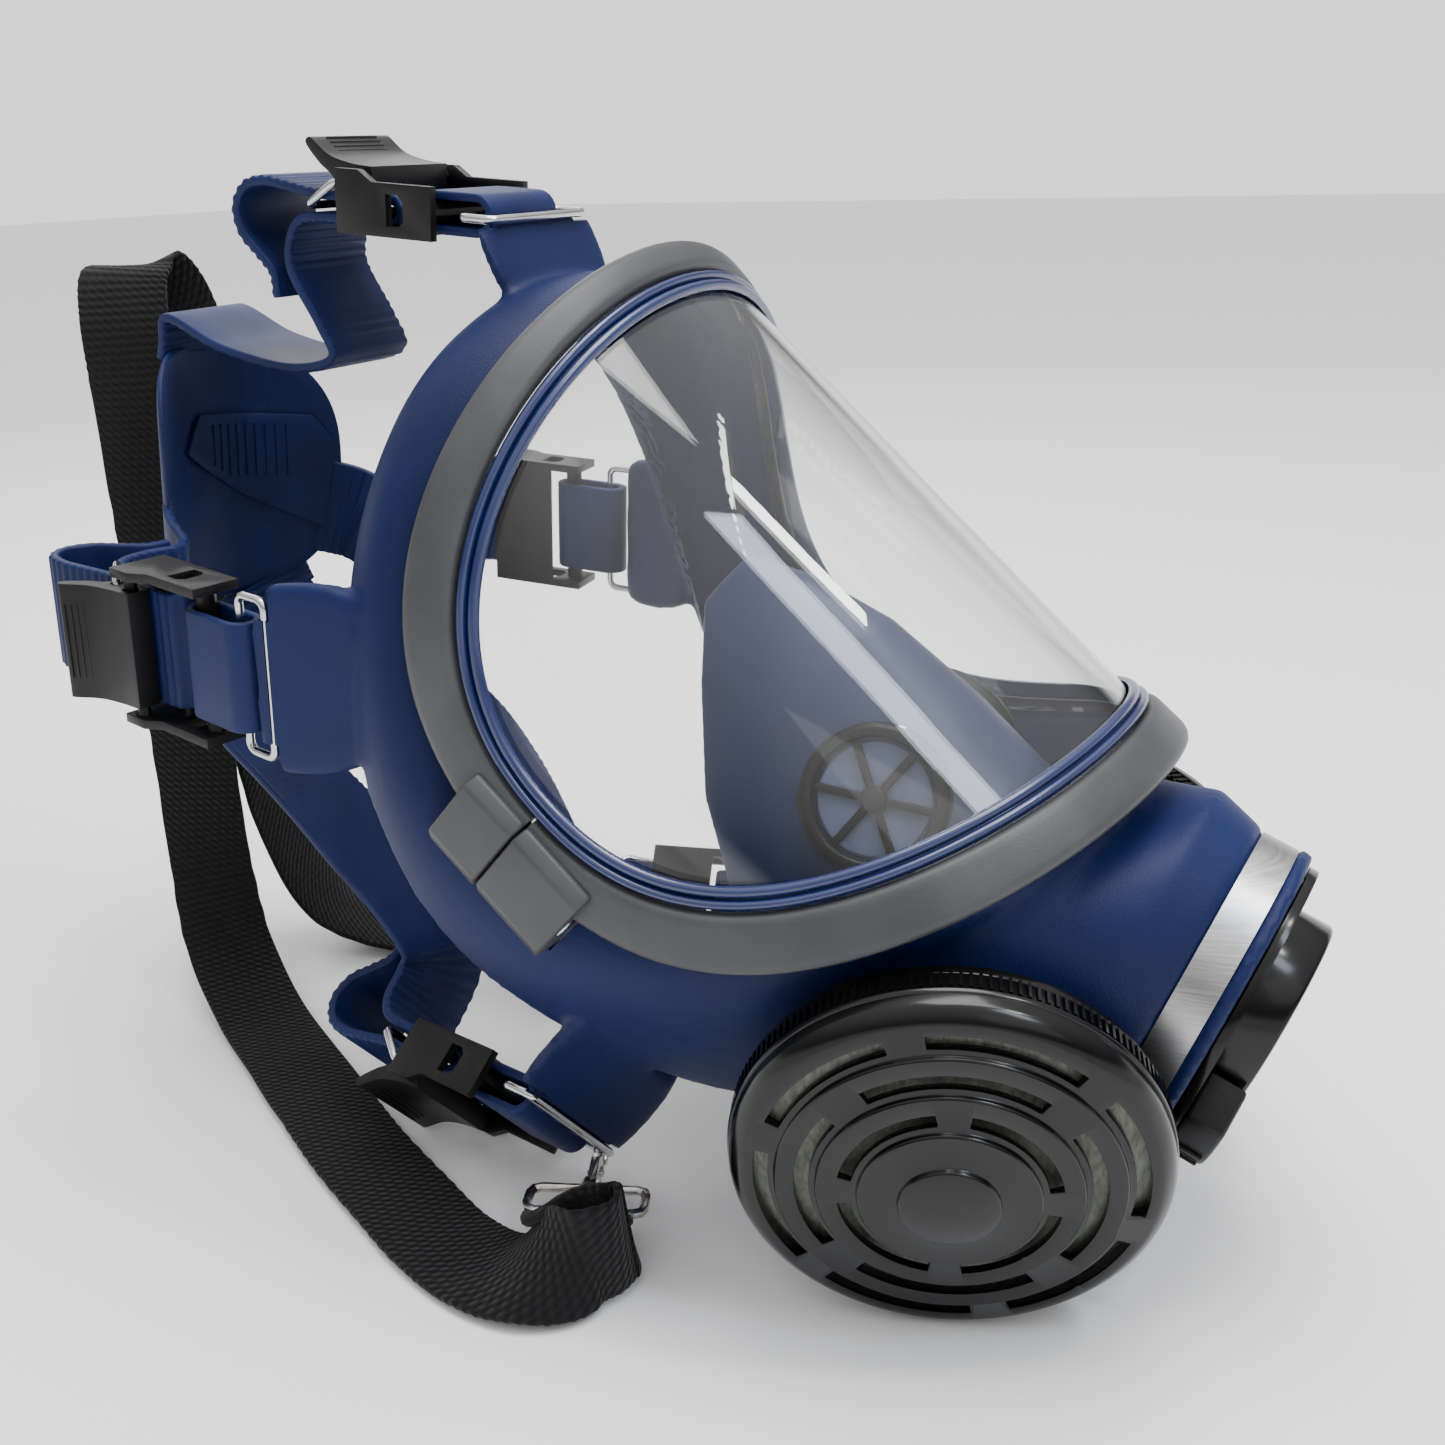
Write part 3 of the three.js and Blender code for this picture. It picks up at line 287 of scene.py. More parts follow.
def makeNickel():
    finish = newFinish("worn nickel", Metallic=1.0)
    wear = grain(finish, 220, 6)
    tint(finish, wear.outputs["Fac"], (0.28, 0.25, 0.22), (0.62, 0.60, 0.57), 0.28, 0.6)
    gloss(finish, wear.outputs["Fac"], 0.16, 0.34)
    return finish


def makeWebbing():
    finish = newFinish("black webbing", Roughness=0.95, Specular_IOR_Level=0.25, Sheen_Weight=0.06, Sheen_Roughness=0.6)
    place = addNode(finish, "ShaderNodeTexCoord")
    chevron = addNode(finish, "ShaderNodeTexWave", [(place.outputs["UV"], "Vector")], Scale=260, Distortion=1.2)
    chevron.bands_direction = "DIAGONAL"
    rows = addNode(finish, "ShaderNodeTexWave", [(place.outputs["UV"], "Vector")], Scale=150, Distortion=0.4)
    rows.bands_direction = "Y"
    both = addNode(finish, "ShaderNodeMath", [(chevron.outputs["Fac"], 0), (rows.outputs["Fac"], 1)], operation="ADD")
    half = addNode(finish, "ShaderNodeMath", [(both.outputs["Value"], 0)], operation="MULTIPLY")
    half.inputs[1].default_value = 0.5
    tint(finish, half.outputs["Value"], (0.0012, 0.0012, 0.0015), (0.007, 0.007, 0.0085), 0.2, 0.9)
    relief(finish, half.outputs["Value"], 0.0006, 0.9)
    return finish


def makeFlapRubber():
    finish = newFinish("thin flap rubber", Specular_IOR_Level=0.5)
    cloud = grain(finish, 90, 4)
    tint(finish, cloud.outputs["Fac"], (0.10, 0.13, 0.24), (0.17, 0.21, 0.34))
    gloss(finish, cloud.outputs["Fac"], 0.25, 0.4)
    return finish


def makeVisorPlastic():
    finish = newFinish("clear visor", Roughness=0.02, IOR=1.45, Specular_IOR_Level=0.5, Transmission_Weight=1.0)
    smear = grain(finish, 20, 5)
    tint(finish, smear.outputs["Fac"], (0.97, 0.98, 0.985), (1.0, 1.0, 1.0))
    gloss(finish, smear.outputs["Fac"], 0.008, 0.03)
    return finish


finishes = {
    "blue_rubber": makeMouldedRubber(),
    "strap": makeStrapRubber(),
    "gasket_rubber": makeGasketRubber(),
    "cup": makeCupRubber(),
    "grey_plastic": makeFramePlastic(),
    "gloss_black": makeGlossPlastic(),
    "satin_black": makeSatinPlastic(),
    "felt": makeFelt(),
    "steel": makeSteel(),
    "band": makeBrushedBand(),
    "nickel": makeNickel(),
    "webbing": makeWebbing(),
    "flap_rubber": makeFlapRubber(),
    "clear_visor": makeVisorPlastic(),
}
print("finishes made:", len(finishes))


def bake(obj):
    # applies the modifiers
    graph = bpy.context.evaluated_depsgraph_get()
    mesh = bpy.data.meshes.new_from_object(obj.evaluated_get(graph))
    obj.modifiers.clear()
    obj.data = mesh
    mesh.name = obj.name
    return obj


def roundEdges(obj, width, segments, angle=40):
    edge = obj.modifiers.new("edges", "BEVEL")
    edge.width = width
    edge.segments = segments
    edge.limit_method = "ANGLE"
    edge.angle_limit = math.radians(angle)
    bake(obj)


def smoothTo(obj, angle):
    obj.data.shade_smooth()
    obj.data.set_sharp_from_angle(angle=math.radians(angle))


def newPiece(name, shapes, local=None, bevel=0.0, angle=38, segments=2):
    # shapes: (points, faces) pairs in millimetres, each one closed, in the frame that local gives
    form = bmesh.new()
    for points, faces in shapes:
        corners = [form.verts.new(p) for p in points]
        for face in faces:
            loop = [corners[i] for i in face]
            if len(set(loop)) > 2:
                form.faces.new(loop)
    bmesh.ops.remove_doubles(form, verts=form.verts, dist=1e-4)
    bmesh.ops.recalc_face_normals(form, faces=form.faces)
    mesh = bpy.data.meshes.new(name)
    form.to_mesh(mesh)
    form.free()
    mesh.transform(toTable @ (local or Matrix.Identity(4)))
    obj = bpy.data.objects.new(name, mesh)
    bpy.context.scene.collection.objects.link(obj)
    if bevel:
        edge = obj.modifiers.new("edges", "BEVEL")
        edge.width = bevel * 0.001
        edge.segments = segments
        edge.limit_method = "ANGLE"
        edge.angle_limit = math.radians(angle)
        bake(obj)
    smoothTo(obj, angle)
    return obj


def combine(obj, cutters, operation="DIFFERENCE"):
    for cutter in cutters:
        step = obj.modifiers.new("combine", "BOOLEAN")
        step.operation = operation
        step.solver = "MANIFOLD"
        step.object = cutter
    bake(obj)
    for cutter in cutters:
        bpy.data.objects.remove(cutter)
    return obj


def finishPiece(obj, body, slotName, stands, finish=None):
    obj.data.materials.clear()
    obj.data.materials.append(finishes[finish or slotName])
    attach(obj, body)
    if stands:
        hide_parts(*stands)
    return obj


def loft(rings, loop=False):
    # skin through rings of equal count; ends are closed with fans
    count = len(rings[0])
    points = [p for ring in rings for p in ring]
    faces = []
    for i in range(len(rings) if loop else len(rings) - 1):
        a, b = i * count, ((i + 1) % len(rings)) * count
        faces += [(a + j, a + (j + 1) % count, b + (j + 1) % count, b + j) for j in range(count)]
    if not loop:
        for start, ring in ((0, rings[0]), (len(points) - count, rings[-1])):
            middle = sum((Vector(p) for p in ring), Vector()) / count
            points.append(middle)
            hub = len(points) - 1
            faces += [(start + j, start + (j + 1) % count, hub) for j in range(count)]
    return points, faces


def lathe(profile, steps=96):
    # profile: radius and height pairs, once round
    rings = []
    for i in range(steps):
        turn = math.tau * i / steps
        rings.append([Vector((r * math.cos(turn), r * math.sin(turn), z)) for r, z in profile])
    return loft(rings, True)


def extrude(outline, z0, z1):
    lower = [Vector((x, y, z0)) for x, y in outline]
    upper = [Vector((x, y, z1)) for x, y in outline]
    count = len(outline)
    faces = [(j, (j + 1) % count, count + (j + 1) % count, count + j) for j in range(count)]
    faces += [tuple(range(count)), tuple(range(count, 2 * count))]
    return lower + upper, faces


def crossExtrude(outline, half):
    # outline seen from the side: along and out; runs half its width each way across
    points, faces = extrude(outline, -half, half)
    return [Vector((x, z, y)) for x, y, z in points], faces


def block(x, y, z):
    points, faces = extrude([(x[0], y[0]), (x[1], y[0]), (x[1], y[1]), (x[0], y[1])], *z)
    return points, faces


def moved(shape, matrix):
    return [matrix @ Vector(p) for p in shape[0]], shape[1]


def spline(points, count):
    # smooth open path through points, the same as the CAD's
    points = [Vector(p) for p in points]
    ends = [2 * points[0] - points[1], *points, 2 * points[-1] - points[-2]]
    path = []
    for i in range(count + 1):
        spot = (len(points) - 1) * i / count
        low = min(len(points) - 2, int(spot))
        path.append(splinePoint(*ends[low:low + 4], spot - low))
    return path


def splinePoint(p0, p1, p2, p3, t):
    d0, d1, d2 = ((b - a).length ** 0.5 or 1.0 for a, b in ((p0, p1), (p1, p2), (p2, p3)))
    m1 = ((p1 - p0) / d0 - (p2 - p0) / (d0 + d1) + (p2 - p1) / d1) * d1
    m2 = ((p2 - p1) / d1 - (p3 - p1) / (d1 + d2) + (p3 - p2) / d2) * d1
    c2 = 3 * (p2 - p1) - 2 * m1 - m2
    c3 = 2 * (p1 - p2) + m1 + m2
    return p1 + m1 * t + c2 * t * t + c3 * t ** 3


def ribbonPath(stops, count):
    # points, and unit vectors across and off the face, along a flat band
    path = spline([at for at, _ in stops], count)
    rows = []
    for i, at in enumerate(path):
        ahead, behind = path[min(count, i + 1)], path[max(0, i - 1)]
        along = (ahead - behind).normalized()
        spot = (len(stops) - 1) * i / count
        low = min(len(stops) - 2, int(spot))
        across = Vector(stops[low][1]).lerp(Vector(stops[low + 1][1]), spot - low)
        across = (across - along * across.dot(along)).normalized()
        rows.append((at, across, along.cross(across)))
    return rows


def ribbonMesh(name, rows, width, thickness, edge=0.0, ribs=0.0, pitch=3.0):
    # section of 12 points; edge scallops the sides and ribs swell one face, every pitch
    half, thick = width / 2, thickness / 2
    section = [(-1, -0.4), (-0.985, -0.85), (-0.95, -1), (-0.4, -1), (0.4, -1), (0.95, -1), (0.985, -0.85), (1, -0.4),
               (1, 0.4), (0.985, 0.85), (0.95, 1), (0.4, 1), (-0.4, 1), (-0.95, 1), (-0.985, 0.85), (-1, 0.4)]
    run, rings, along = 0.0, [], []
    for i, (at, across, face) in enumerate(rows):
        if i:
            run += (at - rows[i - 1][0]).length
        swell = 0.5 - 0.5 * math.cos(math.tau * run / pitch)
        wide = half - edge * swell
        ring = []
        for a, b in section:
            lift = thick * b - (ribs * swell if b < 0 else 0)
            ring.append(at + across * (a * wide) + face * lift)
        rings.append(ring)
        along.append(run)
    points, faces = loft(rings)
    mesh = bpy.data.meshes.new(name)
    mesh.from_pydata([toTable @ p for p in points], [], faces)
    layer = mesh.uv_layers.new(name="weave")
    count = len(section)
    for polygon in mesh.polygons:
        for loopIndex in polygon.loop_indices:
            vertex = mesh.loops[loopIndex].vertex_index
            row = min(len(rows) - 1, vertex // count)
            a = section[vertex % count][0] if vertex < count * len(rows) else 0
            layer.data[loopIndex].uv = (a * half * 0.001, along[row] * 0.001)
    form = bmesh.new()
    form.from_mesh(mesh)
    bmesh.ops.recalc_face_normals(form, faces=form.faces)
    form.to_mesh(mesh)
    form.free()
    obj = bpy.data.objects.new(name, mesh)
    bpy.context.scene.collection.objects.link(obj)
    smoothTo(obj, 50)
    return obj


def wireMesh(name, path, radius, local, closed=True):
    # round wire along a path
    curve = bpy.data.curves.new(name, "CURVE")
    curve.dimensions = "3D"
    curve.bevel_depth = radius * 0.001
    curve.bevel_resolution = 5
    line = curve.splines.new("POLY")
    line.points.add(len(path) - 1)
    for point, at in zip(line.points, path):
        point.co = (*(toTable @ local @ Vector(at)), 1)
    line.use_cyclic_u = closed
    holder = bpy.data.objects.new(name + "_line", curve)
    bpy.context.scene.collection.objects.link(holder)
    graph = bpy.context.evaluated_depsgraph_get()
    mesh = bpy.data.meshes.new_from_object(holder.evaluated_get(graph))
    bpy.data.objects.remove(holder)
    mesh.name = name
    obj = bpy.data.objects.new(name, mesh)
    bpy.context.scene.collection.objects.link(obj)
    obj.data.shade_smooth()
    return obj


def roundedPath(middle, across, along, halfWidth, halfLength, corner, steps=6):
    path = []
    for sx, sy, start in ((1, 1, 0), (-1, 1, 1), (-1, -1, 2), (1, -1, 3)):
        for i in range(steps + 1):
            angle = (start + i / steps) * math.pi / 2
            path.append(Vector(middle) + Vector(across) * (sx * (halfWidth - corner) + math.cos(angle) * corner)
                        + Vector(along) * (sy * (halfLength - corner) + math.sin(angle) * corner))
    return path


def dress(node, slotName, bevel=0.25, angle=34, finish=None, body="mask"):
    # a CAD node's own shape with its edges rounded
    mesh = nodes[node].data.copy()
    form = bmesh.new()
    form.from_mesh(mesh)
    bmesh.ops.remove_doubles(form, verts=form.verts, dist=1e-6)
    bmesh.ops.dissolve_limit(form, angle_limit=math.radians(1), verts=form.verts, edges=form.edges)
    bmesh.ops.recalc_face_normals(form, faces=form.faces)
    form.to_mesh(mesh)
    form.free()
    obj = bpy.data.objects.new(node + "_dressed", mesh)
    bpy.context.scene.collection.objects.link(obj)
    edge = obj.modifiers.new("edges", "BEVEL")
    edge.width = bevel * 0.001
    edge.segments = 2
    edge.limit_method = "ANGLE"
    edge.angle_limit = math.radians(angle)
    bake(obj)
    smoothTo(obj, 40)
    return finishPiece(obj, body, slotName, [node], finish)


def axesMatrix(x, y, z, at):
    return Matrix.Translation(at) @ Matrix((x, y, z)).transposed().to_4x4()


window = {"radius": 75.9, "thickness": 2.5, "halfHeight": 70, "halfAngle": math.radians(87.3),
          "power": 2.19, "edge": 2.7,
          "steps": 180}


def wrap(along, height, lift):
    # point on the visor's cylinder; past the sides the cylinder runs on straight backwards
    radius = window["radius"] + lift
    quarter = window["radius"] * math.pi / 2
    if abs(along) <= quarter:
        angle = along / window["radius"]
        return Vector((radius * math.sin(angle), -radius * math.cos(angle), height))
    return Vector((math.copysign(radius, along), abs(along) - quarter, height))


def signedPower(value, power):
    return math.copysign(abs(value) ** power, value)


def beside(t, out, lift):
    # point beside the window's outline, moved outwards over the cylinder and off it
    power = window["power"]
    u, v = signedPower(math.cos(t), 2 / power), signedPower(math.sin(t), 2 / power)
    halfRound = window["radius"] * window["halfAngle"]
    nx = signedPower(u, power - 1) / halfRound
    nz = signedPower(v, power - 1) / window["halfHeight"]
    size = math.hypot(nx, nz)
    return wrap(halfRound * u + out * nx / size, window["halfHeight"] * v + out * nz / size, lift)


def turns(steps):
    return [math.tau * i / steps for i in range(steps)]


def makeVisor():
    reach = window["radius"]
    shares = [0.02, 0.1, 0.2, 0.3, 0.4, 0.5, 0.6, 0.7, 0.78, 0.85, 0.91, 0.96, 1]
    skins = []
    for lift in (0, -window["thickness"]):
        skin = []
        for share in shares:
            ring = []
            for t in turns(window["steps"]):
                rim = beside(t, window["edge"], 0)
                if rim.y <= 0:
                    along = reach * math.atan2(rim.x, -rim.y)
                else:
                    along = math.copysign(reach * math.pi / 2 + rim.y, rim.x)
                ring.append(wrap(along * share, rim.z * share, lift))
            skin.append(ring)
        skins.append(skin)
    visor = newPiece("visor_clear", [loft(skins[0] + skins[1][::-1])], angle=50)
    return finishPiece(visor, "mask", "clear_visor", ["visor"])


def beadArc(middle, half, top, count=7):
    angles = [math.pi * i / count for i in range(count + 1)]
    return [(middle - half * math.cos(a), top * math.sin(a)) for a in angles]


def makeGasket():
    section = [(a, 0.75 + b) for a, b in beadArc(-4, 1.25, 1.5) + beadArc(-1.5, 1.15, 1.95)]
    section += [(-0.38, 0.45), (-5.2, 0.55)]
    rings = [[beside(t, a, b) for a, b in section] for t in turns(window["steps"])]
    gasket = newPiece("gasket_beads", [loft(rings, True)], angle=40)
    return finishPiece(gasket, "mask", "gasket_rubber", ["visor_gasket"])


def frameWidth(t):
    up = math.sin(t)
    return 12.6 - 4 * up * up if up > 0 else 12.6 - 1.1 * up * up


def frameSection(t):
    w = frameWidth(t)
    section = [(0, 0.45), (0.25, 1.8), (0.8, 2.75), (1.7, 3.25), (3, 3.4), (w - 2.4, 3.6), (w - 1, 3.3), (w - 0.3, 2.8),
               (w, 2), (w, -8.5), (w - 2.6, -8.5), (w - 2.6, 0.45)]
    return [beside(t, a, b) for a, b in section]


clampBoss = {"out": 7, "front": -2.5, "rear": 21}


def bossOutline(side, grow=0.0):
    outer = window["radius"] + clampBoss["out"] + grow
    inner = window["radius"] - 8.5 - grow
    step = window["radius"] + 0.6
    front, rear = clampBoss["front"] - grow, clampBoss["rear"] + grow
    outline = [(inner, 6.8 - grow), (step, 6.8 - grow), (step, -1.5), (outer - 3, front), (outer, 0),
               (outer, 16), (outer - 4, rear), (inner, rear)]
    return [(side * x, y) for x, y in outline]


def makeClampFrame():
    steps = window["steps"] // 2
    edge = 0.003
    for word, start, low, high in (("upper", edge, 0.25, 15), ("lower", math.pi + edge, -20, -0.25)):
        sections = [frameSection(start + (math.pi - 2 * edge) * i / steps) for i in range(steps + 1)]
        half = newPiece("clamp_" + word, [loft(sections)], angle=34)
        finishPiece(half, "mask", "grey_plastic", ["frame_" + word])
        for name, side in sides:
            lug = newPiece(f"lug_{word}_{name}", [extrude(bossOutline(side), low, high)], bevel=0.9, segments=3)
            finishPiece(lug, "mask", "grey_plastic", [])
    for name, side in sides:
        at = (side * (window["radius"] + 1.5), 10, -20.2)
        head = lathe([(0, -0.2), (2.6, -0.2), (2.9, 0.1), (2.9, 0.6), (0, 0.6)], 32)
        screw = newPiece("screw_" + name, [head], Matrix.Translation(at), bevel=0.1)
        finishPiece(screw, "mask", "steel", [])


makeVisor()
makeGasket()
makeClampFrame()
print("visor, gasket and frame made")


neck = {"tilt": math.atan2(0.348, 0.938), "halfWidth": 34, "halfDepth": 38, "centre": Vector((0, -46.8, -125.3))}
neckAxis = Vector((0, -math.sin(neck["tilt"]), -math.cos(neck["tilt"])))
neckBack = Vector((0, math.cos(neck["tilt"]), -math.sin(neck["tilt"])))
blank = {"wall": 3, "lip": 13, "steps": 144, "voxel": 1.15, "soften": 6}
filterSpot = {"centre": (66.1, -9.2, -111), "normal": (0.906, -0.092, -0.412)}
stationSize = {"tab": 45, "bar": 9, "crossbar": 21, "axle": (41, 6), "bore": (47.5, 5.4), "ringBar": (57, -0.9),
               "wireHalf": 18.5, "wire": 1.0}


def filterFrame(side):
    x, y, z = filterSpot["centre"]
    nx, ny, nz = filterSpot["normal"]
    turn = Vector((0, 0, 1)).rotation_difference(Vector((side * nx, ny, nz)).normalized())
    return Matrix.Translation((side * x, y, z)) @ turn.to_matrix().to_4x4()


def stationPlaces():
    places = {"forehead": ((0, -60, 108), (0, 0.6, 0.8), (-1, 0, 0), (0, -50, 92))}
    for word, side in sides:
        places["temple_" + word] = ((77 * side, 28, 65.5), (-0.15 * side, 0.6, 0.785), (0, -0.79 * side, 0.61 * side),
                                    (70 * side, 13, 50))
        places["cheek_" + word] = ((58 * side, 70, -51), (-0.2 * side, 0.68, 0.7), (0.613, -0.471 * side, 0.635 * side),
                                   (54 * side, 40, -47))
    return places


def stationFrame(name):
    at, along, across, _ = stationPlaces()[name]
    x = Vector(along).normalized()
    y = Vector(across)
    y = (y - x * y.dot(x)).normalized()
    return axesMatrix(x, y, x.cross(y), at)


def ovalRing(centre, halfWidth, halfDepth, backwards, power=2.0, steps=96):
    ring = []
    for t in turns(steps):
        across = halfWidth * signedPower(math.cos(t), 2 / power)
        ring.append(Vector(centre) + Vector((across, 0, 0))
                    + Vector(backwards) * (halfDepth * signedPower(math.sin(t), 2 / power)))
    return ring


def neckRing(along, halfWidth, halfDepth):
    return ovalRing(neck["centre"] + neckAxis * along, halfWidth, halfDepth, neckBack)


def neckShape(inset, end):
    w, d = neck["halfWidth"] - inset, neck["halfDepth"] - inset
    groove = 0 if inset else 2
    return loft([
        neckRing(end, w, d),
        neckRing(0.5, w, d),
        neckRing(0.4, w - groove, d - groove),
        neckRing(-8.6, w - groove, d - groove),
        neckRing(-8.8, w, d),
        neckRing(-20, 39 - inset, 41 - inset),
        ovalRing((0, -21, -88), 49 - inset, 44 - inset, (0, 1, -0.12), 2.4),
        ovalRing((0, -17, -60 if inset else -70), 53 - inset, 42 - inset, (0, 1, 0), 2.6),
    ])


# rear edge of the blank and the fullness of its wall, from the forehead down to the chin
rearEdge = [(0, -32, 101), (22, -30, 98), (42, -20, 90), (58, -4, 76), (68, 14, 58), (73, 29, 38), (74, 40, 16),
            (71, 46, -6), (64, 47, -28), (54, 45, -50), (40, 41, -71), (21, 35, -88), (0, 31, -95)]
fullness = [(0, -58, 100), (24, -56, 98), (48, -46, 92), (68, -28, 78), (80, -6, 56), (84, 10, 32), (85, 20, 8),
            (82, 24, -14), (76, 22, -38), (66, 16, -62), (50, 8, -84), (28, 2, -98), (0, 0, -102)]


def fromTable(table, t):
    spot = (math.pi / 2 - math.asin(math.sin(t))) / (math.pi / 12)
    low = min(len(table) - 2, int(spot + 1e-9))

    def at(i):
        last = len(table) - 1
        if i < 0:
            return Vector((-table[-i][0], *table[-i][1:]))
        if i > last:
            j = 2 * last - i
            return Vector((-table[j][0], *table[j][1:]))
        return Vector(table[i])

    p0, p1, p2, p3 = (at(low + i) for i in (-1, 0, 1, 2))
    s = spot - low
    m1, m2 = (p2 - p0) / 2, (p3 - p1) / 2
    point = p1 + m1 * s + (3 * (p2 - p1) - 2 * m1 - m2) * s * s + (2 * (p1 - p2) + m1 + m2) * s ** 3
    return Vector((-point.x, point.y, point.z)) if math.cos(t) < 0 else point


def blankSection(t):
    w = frameWidth(t)
    start, full, rear = beside(t, w + 0.6, -9.4), fromTable(fullness, t), fromTable(rearEdge, t)

    def bend(share):
        return start * (1 - share) ** 2 + full * (2 * share * (1 - share)) + rear * share ** 2

    def inside(p, depth):
        return p + (Vector((0, p.y + 8, 6)) - p).normalized() * depth

    outer = [bend(share) for share in (0.12, 0.24, 0.36, 0.48, 0.6, 0.72, 0.84, 0.93)]
    lip = inside(rear, blank["lip"]) + Vector((0, -9, 0))
    inner = [inside(p, blank["wall"]) for p in outer[1:6][::-1]]
    return [beside(t, 3.3, -0.1), beside(t, w - 3.2, -0.1), beside(t, w - 3.2, -9.3), start, *outer, rear, lip,
            inside(lip, 0.5) + Vector((0, -1.6, 0)), inside(rear, 3) + Vector((0, -3, 0)), *inner,
            beside(t, w - 5.5, -10.4), beside(t, 3.3, -5.5)]


def rod(radius, z0, z1, steps=64):
    outline = [(radius * math.cos(t), radius * math.sin(t)) for t in turns(steps)]
    return extrude(outline, z0, z1)


def tabShape(name):
    # pad moulded on the mask, from its root to the wire
    local = stationFrame(name)
    root = Vector(stationPlaces()[name][3])
    tip = local @ Vector((3, 0, 0))
    wide, out = local.col[1].to_3d(), local.col[2].to_3d()
    rings = []
    for share, narrower, thick in ((0, 3, 3.4), (0.2, 1, 3.2), (0.45, 0, 3), (0.7, 0, 2.9), (0.85, 0.5, 2.8), (0.95, 1.5, 2.4),
                                   (1, 2.5, 1.8)):
        half = stationSize["tab"] / 2 - narrower
        ring = []
        for t in turns(40):
            ring.append(root.lerp(tip, share) + wide * (half * signedPower(math.cos(t), 0.22))
                        + out * (thick * signedPower(math.sin(t), 0.5)))
        rings.append(ring)
    return loft(rings)


def makeBlank():
    shapes = [loft([blankSection(t) for t in turns(blank["steps"])], True), neckShape(0, 3.2)]
    shapes += [moved(rod(27.5, -36, -27.6), filterFrame(side)) for _, side in sides]
    shapes += [tabShape(name) for name in stationNames]
    skin = newPiece("face_blank_rubber", shapes)
    even = skin.modifiers.new("even", "REMESH")
    even.mode = "VOXEL"
    even.voxel_size = blank["voxel"] * 0.001
    soft = skin.modifiers.new("soft", "SMOOTH")
    soft.factor = 0.5
    soft.iterations = blank["soften"]
    bake(skin)
    cutters = [newPiece("cut", [neckShape(blank["wall"] + 2, 9)])]
    for _, side in sides:
        cutters.append(newPiece("cut", [moved(rod(23.5, -52, -18), filterFrame(side))]))
        cutters.append(newPiece("cut", [moved(rod(26.4, -27.6, -18), filterFrame(side))]))
        cutters.append(newPiece("cut", [extrude(bossOutline(side, 0.35), -20.35, 15.35)]))
    for name in stationNames:
        local = stationFrame(name)
        cutters.append(newPiece("cut", [moved(block((-1.2, 1.2), (-20, 20), (-1.2, 1.2)), local)]))
        for low, high in ((-26, -14.5), (14.5, 26)):
            cutters.append(newPiece("cut", [moved(block((-2, 8), (low, high), (-2, 2)), local)]))
    combine(skin, cutters)
    smoothTo(skin, 42)
    return finishPiece(skin, "mask", "blue_rubber", ["face_blank"])


makeBlank()
print("face blank made")


cup = {"rows": [(18, 6, -38, -25), (4, 15, -46, -14), (-16, 25, -52, 0), (-42, 34, -54, 10), (-68, 35, -54, 5)],
       "wall": 2.2, "valve": (25.4, -33.4, -43.5), "valveNormal": (0.9, -0.43, 0.06), "voxel": 0.9}


def cupRing(height, halfWidth, front, middle, back, steps=72):
    ring = []
    for t in turns(steps):
        s = math.sin(t)
        ring.append(Vector((halfWidth * math.cos(t), middle + ((middle - front) * s if s < 0 else back * s), height)))
    return ring


def valveFrame(side):
    x, y, z = cup["valve"]
    nx, ny, nz = cup["valveNormal"]
    turn = Vector((0, 0, 1)).rotation_difference(Vector((side * nx, ny, nz)).normalized())
    return Matrix.Translation((side * x, y, z)) @ turn.to_matrix().to_4x4()


def makeNoseCup():
    outer = [cupRing(z, w, front, middle, 2.4) for z, w, front, middle in cup["rows"]]
    outer += [cupRing(-88, 30, -53, -2, 9), ovalRing(neck["centre"] + neckAxis * -12.6, 26, 29.5, neckBack, steps=72)]
    thin = cup["wall"]
    inner = [cupRing(z - (3 if i == 0 else 0), w - thin, front + thin, middle, 16)
             for i, (z, w, front, middle) in enumerate(cup["rows"])]
    inner += [cupRing(-88, 27.8, -50.8, -2, 6.8), ovalRing(neck["centre"] + neckAxis * -11, 23.6, 27.2, neckBack, steps=72)]
    skin = newPiece("nose_cup_rubber", [loft(outer)])
    even = skin.modifiers.new("even", "REMESH")
    even.mode = "VOXEL"
    even.voxel_size = cup["voxel"] * 0.001
    soft = skin.modifiers.new("soft", "SMOOTH")
    soft.iterations = 5
    bake(skin)
    cutters = [newPiece("cut", [loft(inner)])]
    for _, side in sides:
        cutters.append(newPiece("cut", [moved(rod(16.9, -9, 14), valveFrame(side))]))
        cutters.append(newPiece("cut", [moved(rod(28, -40, -20), filterFrame(side))]))
    combine(skin, cutters)
    smoothTo(skin, 45)
    finishPiece(skin, "mask", "blue_rubber", ["nose_cup"], "cup")


def makeValves():
    for word, side in sides:
        local = valveFrame(side)
        ring = [(13.2, -1.6), (16.6, -1.6), (16.6, 1.4), (15.6, 2.6), (13.8, 2.6), (13.2, 1.6)]
        spokes = [moved(block((-13.6, 13.6), (-0.9, 0.9), (-0.4, 1.2)), Matrix.Rotation(i * math.pi / 3, 4, "Z"))
                  for i in range(3)]
        hub = lathe([(0, -0.4), (3, -0.4), (3, 1.4), (2.4, 2.1), (0, 2.3)], 32)
        seat = newPiece("valve_seat_" + word, [lathe(ring, 72), *spokes, hub], local, bevel=0.25)
        finishPiece(seat, "mask", "satin_black", ["nose_cup_valve_seat_" + word])
        rows = [(0, -1.5), (12.4, -1.5), (12.8, -1.1), (12.4, -0.75), (4, -0.7), (3.6, -0.85), (0, -0.85)]
        flap = newPiece("flap_disc_" + word, [lathe(rows, 64)], local)
        finishPiece(flap, "flap_" + word, "flap_rubber", ["inhalation_flap_" + word])


